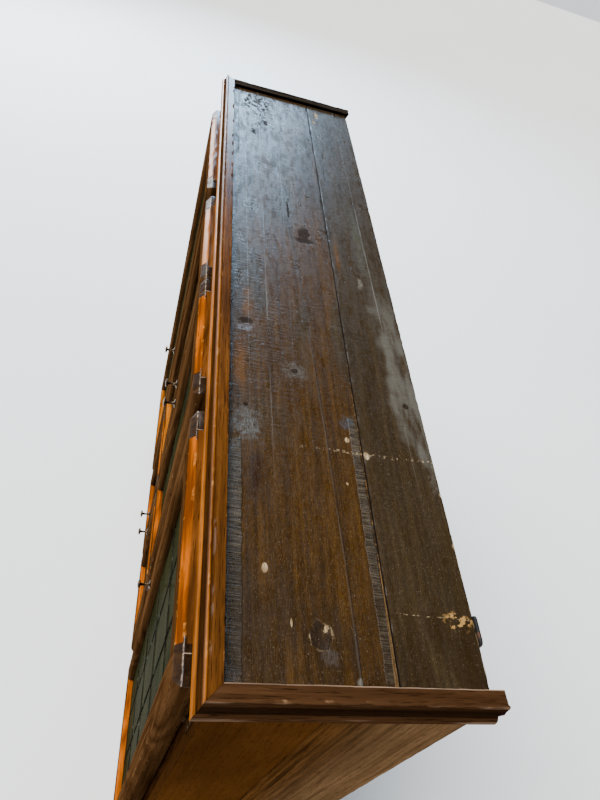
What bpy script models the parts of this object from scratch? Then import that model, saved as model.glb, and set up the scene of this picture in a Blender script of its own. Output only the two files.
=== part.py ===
"""Oak bookcase with leaded doors: two outer bays with tall doors, and a centre bay in two tiers.

Metres, +Z up. The front faces -Y, and +X is to the right as one stands before it. The origin is
on the floor, under the middle of the whole piece. Left and right are as seen from the front.
"""

import math

import bmesh
import bpy
from mathutils import Matrix, Vector

# Case
CASE_WIDTH = 1.590  # over the two side panels
CASE_HEIGHT = 1.350  # floor to the upper face of the top boards
CASE_DEPTH = 0.335  # face frame to the back edge of the sides
SIDE_THICKNESS = 0.022
PARTITION_THICKNESS = 0.022
TOP_THICKNESS = 0.018
FRONT_TOP_BOARD_WIDTH = 0.207
BACK_THICKNESS = 0.010
BACK_FLOOR_CLEARANCE = 0.020
BOTTOM_THICKNESS = 0.020
ARRIS = 0.0012  # softened edge of the case boards

# Face frame
FACE_THICKNESS = 0.022
END_REVEAL = 0.035  # face left showing beside an outer door
POST_GAP = 0.0365  # face left showing between an outer door and a centre door
CENTRE_PAIR_WIDTH = 0.613
TIER_LINE = 0.544  # height of the line between the centre tiers
TIER_GAP = 0.020
DOOR_DROP = 0.068  # top of the doors below the upper face of the top boards
DOOR_BOTTOM = 0.112
DOOR_LAP = 0.018  # what a door covers of the face frame behind it
MEETING_GAP = 0.002

# Doors
DOOR_THICKNESS = 0.032
DOOR_GAP = 0.002  # between a closed door and the face frame
MEMBER_WIDTH = 0.059  # stiles and rails
OUTER_CHAMFER = 0.010
INNER_CHAMFER = 0.008
LIGHT_RECESS = 0.0136  # from the face of the door to the glass
LIGHT_THICKNESS = 0.004
REBATE_WIDTH = 0.009
LIGHT_CLEARANCE = 0.0005

# Knobs
KNOB_RISE = 0.017  # above the middle of the door
KNOB_LENGTH = 0.028
KNOB_PLATE_RADIUS = 0.010
KNOB_PLATE_THICKNESS = 0.002
KNOB_COLLAR_RADIUS = 0.008
KNOB_COLLAR_HEIGHT = 0.004
KNOB_STEM_RADIUS = 0.0035
KNOB_HEAD_RADIUS = 0.0105
KNOB_HEAD_LENGTH = 0.007
KNOB_SIDES = 20

# Hinges
HINGE_LENGTH = 0.064
HINGE_FROM_END = 0.085  # end of a door to the middle of its hinge
BARREL_RADIUS = 0.0032
BARREL_SIDES = 16
BARREL_CLEARANCE = 0.0004
LEAF_THICKNESS = 0.0014
LEAF_WIDTH = 0.022
LEAF_INSET = 0.001  # ends of the leaf inside the ends of the barrel

# Shelves
SHELF_THICKNESS = 0.018
SHELF_SETBACK = 0.004
HOUSING_DEPTH = 0.006
OUTER_BAY_SHELVES = 2
UPPER_TIER_SHELVES = 2
LOWER_TIER_SHELVES = 1

# Cornice: widths measured outwards from the edge of the top boards, heights from their upper face
CORNICE_END_SEAT = 0.015  # how far the cornice stands on a side panel
CORNICE_FRONT_SEAT = 0.010  # how far it stands on the face frame
CORNICE_LIP = 0.0153
CORNICE_LEFT_LIP = 0.0068  # the left return stands lower than the rest
CORNICE_FLAT_WIDTH = 0.0163
CORNICE_CREST_WIDTH = 0.0218
CORNICE_CREST_RISE = 0.0031
CORNICE_COVE_WIDTH = 0.0272
CORNICE_PROJECTION = 0.0313
CORNICE_OVERRUN = 0.008  # returns run on past the back edge of the boards
COVE_STEPS = 5
BEAD_STEPS = 7

# Plinth
PLINTH_HEIGHT = 0.090
PLINTH_THICKNESS = 0.016
PLINTH_CHAMFER = 0.008

# Wall strap, behind the top boards near the right end
STRAP_WIDTH = 0.039
STRAP_THICKNESS = 0.004
STRAP_LENGTH = 0.064
STRAP_RISE = 0.003
STRAP_FROM_END = 0.076  # end of the top boards to the middle of the strap

# Gap that touching pieces keep
JOINT = 0.0003
CUTTER_MARGIN = 0.010

# Places that follow from the sizes above
KNOB_STAND = DOOR_GAP + DOOR_THICKNESS + JOINT + KNOB_LENGTH
FRONT = KNOB_STAND - (KNOB_STAND + CASE_DEPTH + CORNICE_OVERRUN) / 2
BACK = FRONT + CASE_DEPTH
FACE_BACK = FRONT + FACE_THICKNESS
BACK_PANEL_FRONT = BACK - BACK_THICKNESS
SIDE_OUTSIDE = CASE_WIDTH / 2
SIDE_INSIDE = SIDE_OUTSIDE - SIDE_THICKNESS
TOP_UNDERSIDE = CASE_HEIGHT - TOP_THICKNESS
CARCASS_TOP = TOP_UNDERSIDE - JOINT
TOP_END = SIDE_OUTSIDE - CORNICE_END_SEAT
TOP_FRONT = FRONT + CORNICE_FRONT_SEAT
DOOR_TOP = CASE_HEIGHT - DOOR_DROP
OPENING_BOTTOM = DOOR_BOTTOM + DOOR_LAP
OPENING_TOP = DOOR_TOP - DOOR_LAP
TRANSOM_BOTTOM = TIER_LINE - TIER_GAP / 2 - DOOR_LAP
TRANSOM_TOP = TIER_LINE + TIER_GAP / 2 + DOOR_LAP
END_STILE_INSIDE = SIDE_OUTSIDE - END_REVEAL - DOOR_LAP
POST_CENTRE = (CENTRE_PAIR_WIDTH + POST_GAP) / 2
POST_HALF = POST_GAP / 2 + DOOR_LAP
DOOR_BACK = FRONT - DOOR_GAP
DOOR_FACE = DOOR_BACK - DOOR_THICKNESS
PIN_OUTSIDE = BARREL_CLEARANCE + BARREL_RADIUS  # from the edge of the door to its hinge pin
PIN_LINE = FRONT - JOINT - BARREL_RADIUS

UP = Vector((0, 0, 1))


def finish(name, colour, roughness, metallic=0.0):
    """A plain Principled material."""
    made = bpy.data.materials.new(name)
    made.use_nodes = True
    shader = made.node_tree.nodes["Principled BSDF"]
    shader.inputs["Base Color"].default_value = (*colour, 1.0)
    shader.inputs["Roughness"].default_value = roughness
    shader.inputs["Metallic"].default_value = metallic
    return made


def start():
    """Empty scene with one collection for the parts and one for the cutters."""
    for old in list(bpy.data.objects):
        bpy.data.objects.remove(old, do_unlink=True)
    made = []
    for name in ("bookcase", "bookcase_cutters"):
        collection = bpy.data.collections.new(name)
        bpy.context.scene.collection.children.link(collection)
        made.append(collection)
    return made


PARTS, CUTTERS = start()
OAK = finish("oak", (0.42, 0.19, 0.06), 0.45)
DARK_OAK = finish("dark_oak", (0.12, 0.06, 0.03), 0.60)
LEADED_GLASS = finish("leaded_glass", (0.16, 0.17, 0.12), 0.15)
BRASS = finish("brass", (0.55, 0.40, 0.20), 0.35, 1.0)
IRON = finish("iron", (0.05, 0.05, 0.05), 0.55, 0.9)


def add(name, mesh, look, location=(0, 0, 0)):
    """Puts a mesh in the scene as a part, with its finish."""
    part = bpy.data.objects.new(name, mesh)
    PARTS.objects.link(part)
    part.location = location
    mesh.materials.append(look)
    return part


def block_mesh(name, size):
    """A box of this size round its own origin."""
    shape = bmesh.new()
    bmesh.ops.create_cube(shape, size=1.0)
    bmesh.ops.scale(shape, vec=size, verts=shape.verts)
    mesh = bpy.data.meshes.new(name)
    shape.to_mesh(mesh)
    shape.free()
    return mesh


def board(name, low, high, look=OAK, arris=ARRIS):
    """A board between two opposite corners, with softened edges."""
    low, high = Vector(low), Vector(high)
    part = add(name, block_mesh(name, high - low), look, (low + high) / 2)
    if arris:
        bevel = part.modifiers.new("arris", "BEVEL")
        bevel.width = arris
        bevel.segments = 1
    return part


def cut(part, low, high):
    """Cuts a box between two opposite corners out of a part, and returns the cutter."""
    low, high = Vector(low), Vector(high)
    cutter = bpy.data.objects.new(part.name + "_cutter", block_mesh("cutter", high - low))
    CUTTERS.objects.link(cutter)
    cutter.location = (low + high) / 2
    cutter.hide_render = True
    cutter.display_type = "WIRE"
    boolean = part.modifiers.new("cut", "BOOLEAN")
    boolean.operation = "DIFFERENCE"
    boolean.object = cutter
    return cutter


def shade_round(mesh, crease_degrees=35):
    """Smooth shading that keeps the edges sharper than the crease."""
    mesh.shade_smooth()
    mesh.set_sharp_from_angle(angle=math.radians(crease_degrees))


def arc(centre, radius, start_degrees, end_degrees, steps):
    """Points along a circular arc, both ends included."""
    points = []
    for step in range(steps + 1):
        angle = math.radians(start_degrees + (end_degrees - start_degrees) * step / steps)
        points.append((centre[0] + radius * math.cos(angle), centre[1] + radius * math.sin(angle)))
    return points


def cornice_outline(lip):
    """Section of the cornice as (outwards, up): flat, crest, cove and bead. The flat is at lip."""
    crest = lip + CORNICE_CREST_RISE
    cove_width = CORNICE_COVE_WIDTH - CORNICE_CREST_WIDTH
    cove = []
    for step in range(COVE_STEPS + 1):
        angle = math.pi / 2 * step / COVE_STEPS
        outwards = CORNICE_COVE_WIDTH - cove_width * math.cos(angle)
        cove.append((outwards, crest * (1 - math.sin(angle))))
    bead_radius = TOP_THICKNESS / 2
    bead_width = CORNICE_PROJECTION - CORNICE_COVE_WIDTH
    bead = []
    for outwards, up in arc((0, 0), 1.0, 90, -90, BEAD_STEPS):
        bead.append((CORNICE_COVE_WIDTH + bead_width * outwards, bead_radius * (up - 1)))
    flat = [(0, -TOP_THICKNESS), (0, lip), (CORNICE_FLAT_WIDTH, lip)]
    return flat + cove + bead[1:]


def plinth_outline():
    """Section of the plinth as (outwards, up): a board with its upper corner taken off."""
    return [
        (0, 0),
        (0, PLINTH_HEIGHT),
        (PLINTH_THICKNESS - PLINTH_CHAMFER, PLINTH_HEIGHT),
        (PLINTH_THICKNESS, PLINTH_HEIGHT - PLINTH_CHAMFER),
        (PLINTH_THICKNESS, 0),
    ]


def extruded(outline, length):
    """A mesh with this outline in XY, from -length / 2 to +length / 2 along Z."""
    curve = bpy.data.curves.new("outline", "CURVE")
    curve.dimensions = "2D"
    curve.fill_mode = "BOTH"
    curve.extrude = length / 2
    spline = curve.splines.new("POLY")
    spline.points.add(len(outline) - 1)
    for point, (across, up) in zip(spline.points, outline):
        point.co = (across, up, 0, 1)
    spline.use_cyclic_u = True
    drawn = bpy.data.objects.new("outline", curve)
    CUTTERS.objects.link(drawn)
    bpy.context.view_layer.update()
    mesh = bpy.data.meshes.new_from_object(drawn.evaluated_get(bpy.context.evaluated_depsgraph_get()))
    bpy.data.objects.remove(drawn, do_unlink=True)
    shape = bmesh.new()
    shape.from_mesh(mesh)
    bmesh.ops.remove_doubles(shape, verts=shape.verts, dist=0.00001)
    bmesh.ops.recalc_face_normals(shape, faces=shape.faces)
    shape.to_mesh(mesh)
    shape.free()
    return mesh


def moulding(name, outline, length, middle, outwards, mitre_low, mitre_high):
    """A straight moulding whose inner edge is this long and centred on the point middle.

    Its length runs along outwards x up. An end is mitred where its flag is 1 and square at 0.
    """
    mesh = extruded(outline, length)
    for vertex in mesh.vertices:
        if vertex.co.z > 0:
            vertex.co.z += mitre_high * (vertex.co.x - JOINT)
        else:
            vertex.co.z -= mitre_low * (vertex.co.x - JOINT)
    part = add(name, mesh, OAK)
    outwards = Vector(outwards)
    turn = Matrix((outwards, UP, outwards.cross(UP))).transposed()
    part.matrix_world = Matrix.Translation(middle) @ turn.to_4x4()
    return part


def frame_moulding(prefix, outline, left_outline, end, front, back, height):
    """A moulding round the front and both ends, whose left return has its own outline."""
    return_length = back - front
    middle = (front + back) / 2
    moulding(prefix + "_front", outline, 2 * end, (0, front, height), (0, -1, 0), 1, 1)
    moulding(
        prefix + "_left_return", left_outline, return_length, (-end, middle, height), (-1, 0, 0), 1, 0
    )
    moulding(
        prefix + "_right_return", outline, return_length, (end, middle, height), (1, 0, 0), 0, 1
    )


def make_top():
    """Two top boards, side by side, inside the cornice."""
    seam = TOP_FRONT + FRONT_TOP_BOARD_WIDTH
    edge = TOP_END - JOINT
    board("top_board_front", (-edge, TOP_FRONT + JOINT, TOP_UNDERSIDE), (edge, seam, CASE_HEIGHT))
    board("top_board_back", (-edge, seam + JOINT, TOP_UNDERSIDE), (edge, BACK, CASE_HEIGHT))
    cornice_back = BACK + CORNICE_OVERRUN
    outline, left_outline = cornice_outline(CORNICE_LIP), cornice_outline(CORNICE_LEFT_LIP)
    frame_moulding(
        "cornice", outline, left_outline, TOP_END, TOP_FRONT, cornice_back, CASE_HEIGHT
    )


def make_plinth():
    """Plinth planted round the foot of the case."""
    end = SIDE_OUTSIDE + JOINT
    outline = plinth_outline()
    frame_moulding("plinth", outline, outline, end, FRONT - JOINT, BACK, 0)


def make_uprights():
    """Sides, back, bottom and partitions. It returns the boards that shelves are housed in."""
    sides = {}
    partitions = {}
    for name, hand in (("left", -1), ("right", 1)):
        near, far = sorted((hand * SIDE_INSIDE, hand * SIDE_OUTSIDE))
        sides[hand] = board(
            name + "_side_panel", (near, FRONT, 0), (far, BACK, CARCASS_TOP), arris=0
        )
        centre = hand * POST_CENTRE
        half = PARTITION_THICKNESS / 2
        partitions[hand] = board(
            name + "_partition",
            (centre - half, FACE_BACK + JOINT, OPENING_BOTTOM + JOINT),
            (centre + half, BACK_PANEL_FRONT - JOINT, CARCASS_TOP),
            arris=0,
        )
    inside = SIDE_INSIDE - JOINT
    board(
        "bottom_board",
        (-inside, FACE_BACK + JOINT, OPENING_BOTTOM - BOTTOM_THICKNESS),
        (inside, BACK_PANEL_FRONT - JOINT, OPENING_BOTTOM),
    )
    board(
        "back_panel",
        (-inside, BACK_PANEL_FRONT, BACK_FLOOR_CLEARANCE),
        (inside, BACK, CARCASS_TOP),
        DARK_OAK,
    )
    return sides, partitions


def make_face_frame():
    """Two end stiles, two posts, and the frieze, transom and bottom rails between them."""
    for name, hand in (("left", -1), ("right", 1)):
        near, far = sorted((hand * END_STILE_INSIDE, hand * (SIDE_INSIDE - JOINT)))
        board(name + "_end_stile", (near, FRONT, 0), (far, FACE_BACK, CARCASS_TOP))
        centre = hand * POST_CENTRE
        board(
            name + "_post",
            (centre - POST_HALF, FRONT, OPENING_BOTTOM + JOINT),
            (centre + POST_HALF, FACE_BACK, OPENING_TOP - JOINT),
        )
    rail_end = END_STILE_INSIDE - JOINT
    board("frieze_rail", (-rail_end, FRONT, OPENING_TOP), (rail_end, FACE_BACK, CARCASS_TOP))
    board("bottom_rail", (-rail_end, FRONT, 0), (rail_end, FACE_BACK, OPENING_BOTTOM))
    transom_end = POST_CENTRE - POST_HALF - JOINT
    board(
        "transom_rail",
        (-transom_end, FRONT, TRANSOM_BOTTOM),
        (transom_end, FACE_BACK, TRANSOM_TOP),
    )


def shelf(name, left, right, middle, housings):
    """A shelf housed at both ends. left and right are the faces of the boards that hold it."""
    half = SHELF_THICKNESS / 2
    front = FACE_BACK + SHELF_SETBACK
    low = Vector((left - HOUSING_DEPTH + JOINT, front, middle - half))
    high = Vector((right + HOUSING_DEPTH - JOINT, BACK_PANEL_FRONT - JOINT, middle + half))
    board(name, low, high)
    for face, direction, upright in ((left, -1, housings[0]), (right, 1, housings[1])):
        near, far = sorted((face - direction * CUTTER_MARGIN, face + direction * HOUSING_DEPTH))
        cut(
            upright,
            (near, front - JOINT, middle - half - JOINT),
            (far, BACK_PANEL_FRONT, middle + half + JOINT),
        )


def shelves(prefix, count, left, right, bottom, top, housings):
    """Shelves that divide a space into equal heights."""
    pitch = (top - bottom) / (count + 1)
    for number in range(count):
        name = f"{prefix}_shelf_{number + 1}"
        shelf(name, left, right, bottom + pitch * (number + 1), housings)


def make_shelves(sides, partitions):
    """Shelves of the outer bays, the deck between the centre tiers, and the centre shelves."""
    bay_inside = POST_CENTRE - PARTITION_THICKNESS / 2
    bay_outside = POST_CENTRE + PARTITION_THICKNESS / 2
    floor, ceiling = OPENING_BOTTOM, TOP_UNDERSIDE
    left = (-SIDE_INSIDE, -bay_outside, floor, ceiling, (sides[-1], partitions[-1]))
    right = (bay_outside, SIDE_INSIDE, floor, ceiling, (partitions[1], sides[1]))
    shelves("left_bay", OUTER_BAY_SHELVES, *left)
    shelves("right_bay", OUTER_BAY_SHELVES, *right)
    pair = (partitions[-1], partitions[1])
    shelf("tier_deck", -bay_inside, bay_inside, TIER_LINE, pair)
    shelves("lower_tier", LOWER_TIER_SHELVES, -bay_inside, bay_inside, floor, TIER_LINE, pair)
    shelves("upper_tier", UPPER_TIER_SHELVES, -bay_inside, bay_inside, TIER_LINE, ceiling, pair)


def make_strap():
    """Iron strap on the back edge, for a screw into the wall."""
    centre = TOP_END - STRAP_FROM_END
    top = CASE_HEIGHT + STRAP_RISE
    board(
        "wall_strap",
        (centre - STRAP_WIDTH / 2, BACK + JOINT, top - STRAP_LENGTH),
        (centre + STRAP_WIDTH / 2, BACK + JOINT + STRAP_THICKNESS, top),
        IRON,
        arris=STRAP_THICKNESS / 4,
    )


def flare(cutter, spread):
    """Spreads the front face of a cutter, so that it cuts a bevel round its opening."""
    for vertex in cutter.data.vertices:
        if vertex.co.y < 0:
            vertex.co.x += math.copysign(spread, vertex.co.x)
            vertex.co.z += math.copysign(spread, vertex.co.z)


def door_frame(name, left, right, bottom, top):
    """Stiles and rails: chamfered outside, and inside round the opening, and rebated behind."""
    frame = board(name, (left, DOOR_FACE, bottom), (right, DOOR_BACK, top), arris=0)
    weights = frame.data.attributes.new("bevel_weight_edge", "FLOAT", "EDGE")
    for edge in frame.data.edges:
        if all(frame.data.vertices[index].co.y < 0 for index in edge.vertices):
            weights.data[edge.index].value = 1.0
    bevel = frame.modifiers.new("chamfer", "BEVEL")
    bevel.width = OUTER_CHAMFER
    bevel.segments = 2
    bevel.limit_method = "WEIGHT"
    sight = MEMBER_WIDTH
    rebate = MEMBER_WIDTH - REBATE_WIDTH
    behind = DOOR_BACK + CUTTER_MARGIN
    before = DOOR_FACE - INNER_CHAMFER
    low = (left + sight, before, bottom + sight)
    cut(frame, low, (right - sight, behind, top - sight))
    bevelled = cut(frame, low, (right - sight, DOOR_FACE + INNER_CHAMFER, top - sight))
    flare(bevelled, DOOR_FACE + INNER_CHAMFER - before)
    cut(
        frame,
        (left + rebate, DOOR_FACE + LIGHT_RECESS - JOINT, bottom + rebate),
        (right - rebate, behind, top - rebate),
    )
    return frame


def leaded_light(name, left, right, bottom, top):
    """The glazed panel of a door, lying in the rebate."""
    inset = MEMBER_WIDTH - REBATE_WIDTH + LIGHT_CLEARANCE
    front = DOOR_FACE + LIGHT_RECESS
    return board(
        name,
        (left + inset, front, bottom + inset),
        (right - inset, front + LIGHT_THICKNESS, top - inset),
        LEADED_GLASS,
        arris=0,
    )


def knob_profile():
    """Half section of a knob as (radius, height), from its tip down to its plate."""
    head_middle = KNOB_LENGTH - KNOB_HEAD_LENGTH / 2
    head = []
    for radius, height in arc((0, 0), 1.0, 90, -70, 8):
        head.append((KNOB_HEAD_RADIUS * radius, head_middle + KNOB_HEAD_LENGTH / 2 * height))
    head[0] = (0.0, KNOB_LENGTH)
    return head + [
        (KNOB_STEM_RADIUS, head_middle - KNOB_HEAD_LENGTH),
        (KNOB_STEM_RADIUS, KNOB_COLLAR_HEIGHT),
        (KNOB_COLLAR_RADIUS, KNOB_PLATE_THICKNESS),
        (KNOB_PLATE_RADIUS, KNOB_PLATE_THICKNESS / 2),
        (KNOB_PLATE_RADIUS, 0.0),
        (0.0, 0.0),
    ]


def knob(name, across, up):
    """A turned knob, its axis square to the face of the door."""
    mesh = bpy.data.meshes.new(name)
    profile = knob_profile()
    points = [(radius, 0, height) for radius, height in profile]
    edges = [(index, index + 1) for index in range(len(points) - 1)]
    mesh.from_pydata(points, edges, [])
    part = add(name, mesh, BRASS, (across, DOOR_FACE - JOINT, up))
    part.rotation_euler.x = math.radians(90)
    screw = part.modifiers.new("turn", "SCREW")
    screw.axis = "Z"
    screw.steps = KNOB_SIDES
    screw.render_steps = KNOB_SIDES
    screw.use_merge_vertices = True
    screw.merge_threshold = 0.00001
    screw.use_smooth_shade = True
    return part


def hinge(name, edge, hand, middle):
    """Barrel beside the edge of a door and leaf behind the door. hand points off the door."""
    pin = edge + hand * PIN_OUTSIDE
    shape = bmesh.new()
    bmesh.ops.create_cone(
        shape,
        cap_ends=True,
        segments=BARREL_SIDES,
        radius1=BARREL_RADIUS,
        radius2=BARREL_RADIUS,
        depth=HINGE_LENGTH,
    )
    mesh = bpy.data.meshes.new(name)
    shape.to_mesh(mesh)
    shape.free()
    shade_round(mesh)
    part = add(name, mesh, BRASS, (pin, PIN_LINE, middle))
    near, far = sorted((pin, pin - hand * LEAF_WIDTH))
    half = HINGE_LENGTH / 2 - LEAF_INSET
    leaf_back = FRONT - JOINT
    leaf = cut(
        part, (near, leaf_back - LEAF_THICKNESS, middle - half), (far, leaf_back, middle + half)
    )
    leaf.name = name + "_leaf"
    part.modifiers["cut"].operation = "UNION"
    return part


def make_door(name, edge, inner, bottom, top):
    """A door with its light, knob and hinges. edge is its hinged side, inner its free side."""
    hand = math.copysign(1, edge - inner)
    left, right = sorted((edge, inner))
    middle = (bottom + top) / 2
    knob_place = inner + hand * MEMBER_WIDTH / 2
    pieces = [
        door_frame(name + "_door_frame", left, right, bottom, top),
        leaded_light(name + "_door_light", left, right, bottom, top),
        knob(name + "_door_knob", knob_place, middle + KNOB_RISE),
        hinge(name + "_door_lower_hinge", edge, hand, bottom + HINGE_FROM_END),
        hinge(name + "_door_upper_hinge", edge, hand, top - HINGE_FROM_END),
    ]
    pivot = bpy.data.objects.new(name + "_door_pivot", None)
    PARTS.objects.link(pivot)
    pivot.location = (edge + hand * PIN_OUTSIDE, PIN_LINE, middle)
    for piece in pieces:
        piece.parent = pivot
        piece.location -= pivot.location


def make_doors():
    """An outer door on each side, and two pairs in the centre."""
    lower_top = TIER_LINE - TIER_GAP / 2
    upper_bottom = TIER_LINE + TIER_GAP / 2
    outer_edge = SIDE_OUTSIDE - END_REVEAL
    outer_inner = CENTRE_PAIR_WIDTH / 2 + POST_GAP
    for name, hand in (("left", -1), ("right", 1)):
        make_door(name, hand * outer_edge, hand * outer_inner, DOOR_BOTTOM, DOOR_TOP)
        edge = hand * CENTRE_PAIR_WIDTH / 2
        inner = hand * MEETING_GAP / 2
        make_door("lower_" + name, edge, inner, DOOR_BOTTOM, lower_top)
        make_door("upper_" + name, edge, inner, upper_bottom, DOOR_TOP)


make_top()
make_plinth()
make_face_frame()
SIDES, PARTITIONS = make_uprights()
make_shelves(SIDES, PARTITIONS)
make_strap()
make_doors()
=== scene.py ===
"""Looks of a long oak bookcase with leaded doors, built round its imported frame.

Metres, +Z up. The front faces -Y, and the origin is on the floor under the middle of the piece.
"""

import math

import bpy
import numpy as np
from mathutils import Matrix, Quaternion, Vector


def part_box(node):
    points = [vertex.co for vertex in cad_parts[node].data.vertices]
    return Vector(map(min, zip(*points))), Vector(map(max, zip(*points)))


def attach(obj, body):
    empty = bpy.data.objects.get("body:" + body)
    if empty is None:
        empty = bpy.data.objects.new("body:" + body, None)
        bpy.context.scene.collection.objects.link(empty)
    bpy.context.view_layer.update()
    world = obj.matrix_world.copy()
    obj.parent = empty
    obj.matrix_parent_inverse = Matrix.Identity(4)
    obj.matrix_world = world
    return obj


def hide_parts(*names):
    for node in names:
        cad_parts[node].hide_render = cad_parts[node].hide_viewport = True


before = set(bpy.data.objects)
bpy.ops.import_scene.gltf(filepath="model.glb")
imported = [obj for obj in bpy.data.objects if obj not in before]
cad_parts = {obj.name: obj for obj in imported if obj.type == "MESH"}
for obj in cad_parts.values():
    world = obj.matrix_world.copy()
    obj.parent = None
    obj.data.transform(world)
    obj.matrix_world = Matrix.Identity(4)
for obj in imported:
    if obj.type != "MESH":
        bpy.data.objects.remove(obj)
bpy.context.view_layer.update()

# ---------------------------------------------------------------------------------------------
# The stage: one looks down on the right-hand end of the case from just beside and above it. The
# floor is plain and pale. A broad sun stands high in front, to the left, and two soft lights
# stand beyond the left end.

board_low, board_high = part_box("top_board_front")
eye = Vector((board_high.x + 0.2118, board_low.y - 0.1274, board_high.z + 0.680))
heading, dip, roll = math.radians(159.30), math.radians(44.83), math.radians(23.36)
gaze = Vector((math.cos(dip) * math.cos(heading), math.cos(dip) * math.sin(heading), -math.sin(dip)))
camera = bpy.data.objects.new("camera", bpy.data.cameras.new("camera"))
bpy.context.scene.collection.objects.link(camera)
camera.data.lens = 27.763
camera.data.sensor_width = 36
camera.data.clip_start = 0.02
camera.location = eye
camera.rotation_mode = "QUATERNION"
camera.rotation_quaternion = gaze.to_track_quat("-Z", "Y") @ Quaternion((0, 0, 1), roll)
bpy.context.scene.camera = camera


def wire(tree, kind, settings=None, inputs=None):
    """Adds a shader node, sets its properties, and fills its inputs with values or other sockets."""
    made = tree.nodes.new("ShaderNode" + kind)
    for name, value in (settings or {}).items():
        setattr(made, name, value)
    for name, value in (inputs or {}).items():
        if isinstance(value, bpy.types.NodeSocket):
            tree.links.new(value, made.inputs[name])
        else:
            made.inputs[name].default_value = value
    return made


def noise(tree, vector, scale, detail=4.0, warp=0.0):
    """Soft random mottling of this scale, from 0 to 1 round 0.5."""
    inputs = {"Vector": vector, "Scale": scale, "Detail": detail, "Distortion": warp}
    return wire(tree, "TexNoise", None, inputs).outputs["Fac"]


def tones(tree, value, stops):
    """Colours at stated places between 0 and 1, blended between them."""
    ramp = wire(tree, "ValToRGB", None, {"Fac": value})
    elements = ramp.color_ramp.elements
    while len(elements) < len(stops):
        elements.new(0.5)
    for element, (place, colour) in zip(elements, stops):
        element.position = place
        element.color = (*colour, 1)
    return ramp.outputs["Color"]


def new_look(name):
    """A material with its Principled shader: (material, node tree, shader)."""
    look = bpy.data.materials.new(name)
    look.use_nodes = True
    tree = look.node_tree
    return look, tree, tree.nodes["Principled BSDF"]


def stage_floor():
    """A flat sheet, 24 m square, with a faint unevenness of tone."""
    side = 12.0
    mesh = bpy.data.meshes.new("floor")
    corners = [(-side, -side, 0), (side, -side, 0), (side, side, 0), (-side, side, 0)]
    mesh.from_pydata(corners, [], [(0, 1, 2, 3)])
    floor = bpy.data.objects.new("floor", mesh)
    bpy.context.scene.collection.objects.link(floor)
    floor.location.z = -0.0005
    look, tree, shader = new_look("pale_floor")
    place = wire(tree, "TexCoord").outputs["Object"]
    tone = tones(tree, noise(tree, place, 0.6), [(0.3, (0.90, 0.90, 0.90)), (0.7, (0.94, 0.94, 0.94))])
    tree.links.new(tone, shader.inputs["Base Color"])
    shader.inputs["Roughness"].default_value = 0.9
    shader.inputs["Specular IOR Level"].default_value = 0.1
    mesh.materials.append(look)


def soft_light(name, place, target, size, power, colour):
    """A large rectangular light at place, facing target."""
    lamp = bpy.data.lights.new(name, "AREA")
    lamp.shape = "RECTANGLE"
    lamp.size, lamp.size_y = size
    lamp.energy = power
    lamp.color = colour
    light = bpy.data.objects.new(name, lamp)
    bpy.context.scene.collection.objects.link(light)
    light.location = place
    light.rotation_euler = (Vector(target) - Vector(place)).to_track_quat("-Z", "Y").to_euler()


def broad_sun(toward, power, width):
    """Even light over the whole floor, as through a wide white cloth."""
    lamp = bpy.data.lights.new("broad_sun", "SUN")
    lamp.energy = power
    lamp.angle = math.radians(width)
    lamp.color = (1.0, 0.98, 0.95)
    light = bpy.data.objects.new("broad_sun", lamp)
    bpy.context.scene.collection.objects.link(light)
    light.rotation_euler = Vector(toward).to_track_quat("-Z", "Y").to_euler()


stage_floor()
broad_sun((0.30, 0.62, -1.0), 7.0, 50)
soft_light("window_light", (-5.4, -0.2, 2.75), (-0.2, 0, 1.3), (2.0, 1.5), 265, (0.46, 0.72, 1.0))
soft_light("low_light", (-5.0, -2.4, 1.7), (-0.3, -0.2, 1.25), (2.0, 1.2), 170, (0.90, 0.95, 1.0))
world = bpy.data.worlds.new("studio")
bpy.context.scene.world = world
world.use_nodes = True
world.node_tree.nodes["Background"].inputs["Color"].default_value = (0.95, 0.97, 1.0, 1)
seen = wire(world.node_tree, "LightPath").outputs["Is Camera Ray"]
strength = wire(world.node_tree, "Math", {"operation": "MULTIPLY_ADD"}, {0: seen, 1: 0.9, 2: 0.25})
world.node_tree.links.new(strength.outputs[0], world.node_tree.nodes["Background"].inputs["Strength"])

# ---------------------------------------------------------------------------------------------
# The case boards: plain-sawn oak, planed by hand, stained brown and varnished. Every board is a
# closed skin of rings carried along its grain, with softened, slightly knocked arrises.


def mottle(across, along, cell, seed):
    """Value noise from -1 to 1: random heights on a lattice of this cell, smoothly interpolated."""
    lattice = np.random.default_rng(seed).uniform(-1, 1, (256, 256))
    u, v = across / cell, along / cell
    i, j = np.floor(u).astype(int), np.floor(v).astype(int)
    s, t = u - i, v - j
    s, t = s * s * (3 - 2 * s), t * t * (3 - 2 * t)
    near = lattice[i % 256, j % 256] * (1 - s) + lattice[(i + 1) % 256, j % 256] * s
    far = lattice[i % 256, (j + 1) % 256] * (1 - s) + lattice[(i + 1) % 256, (j + 1) % 256] * s
    return near * (1 - t) + far * t


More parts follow.
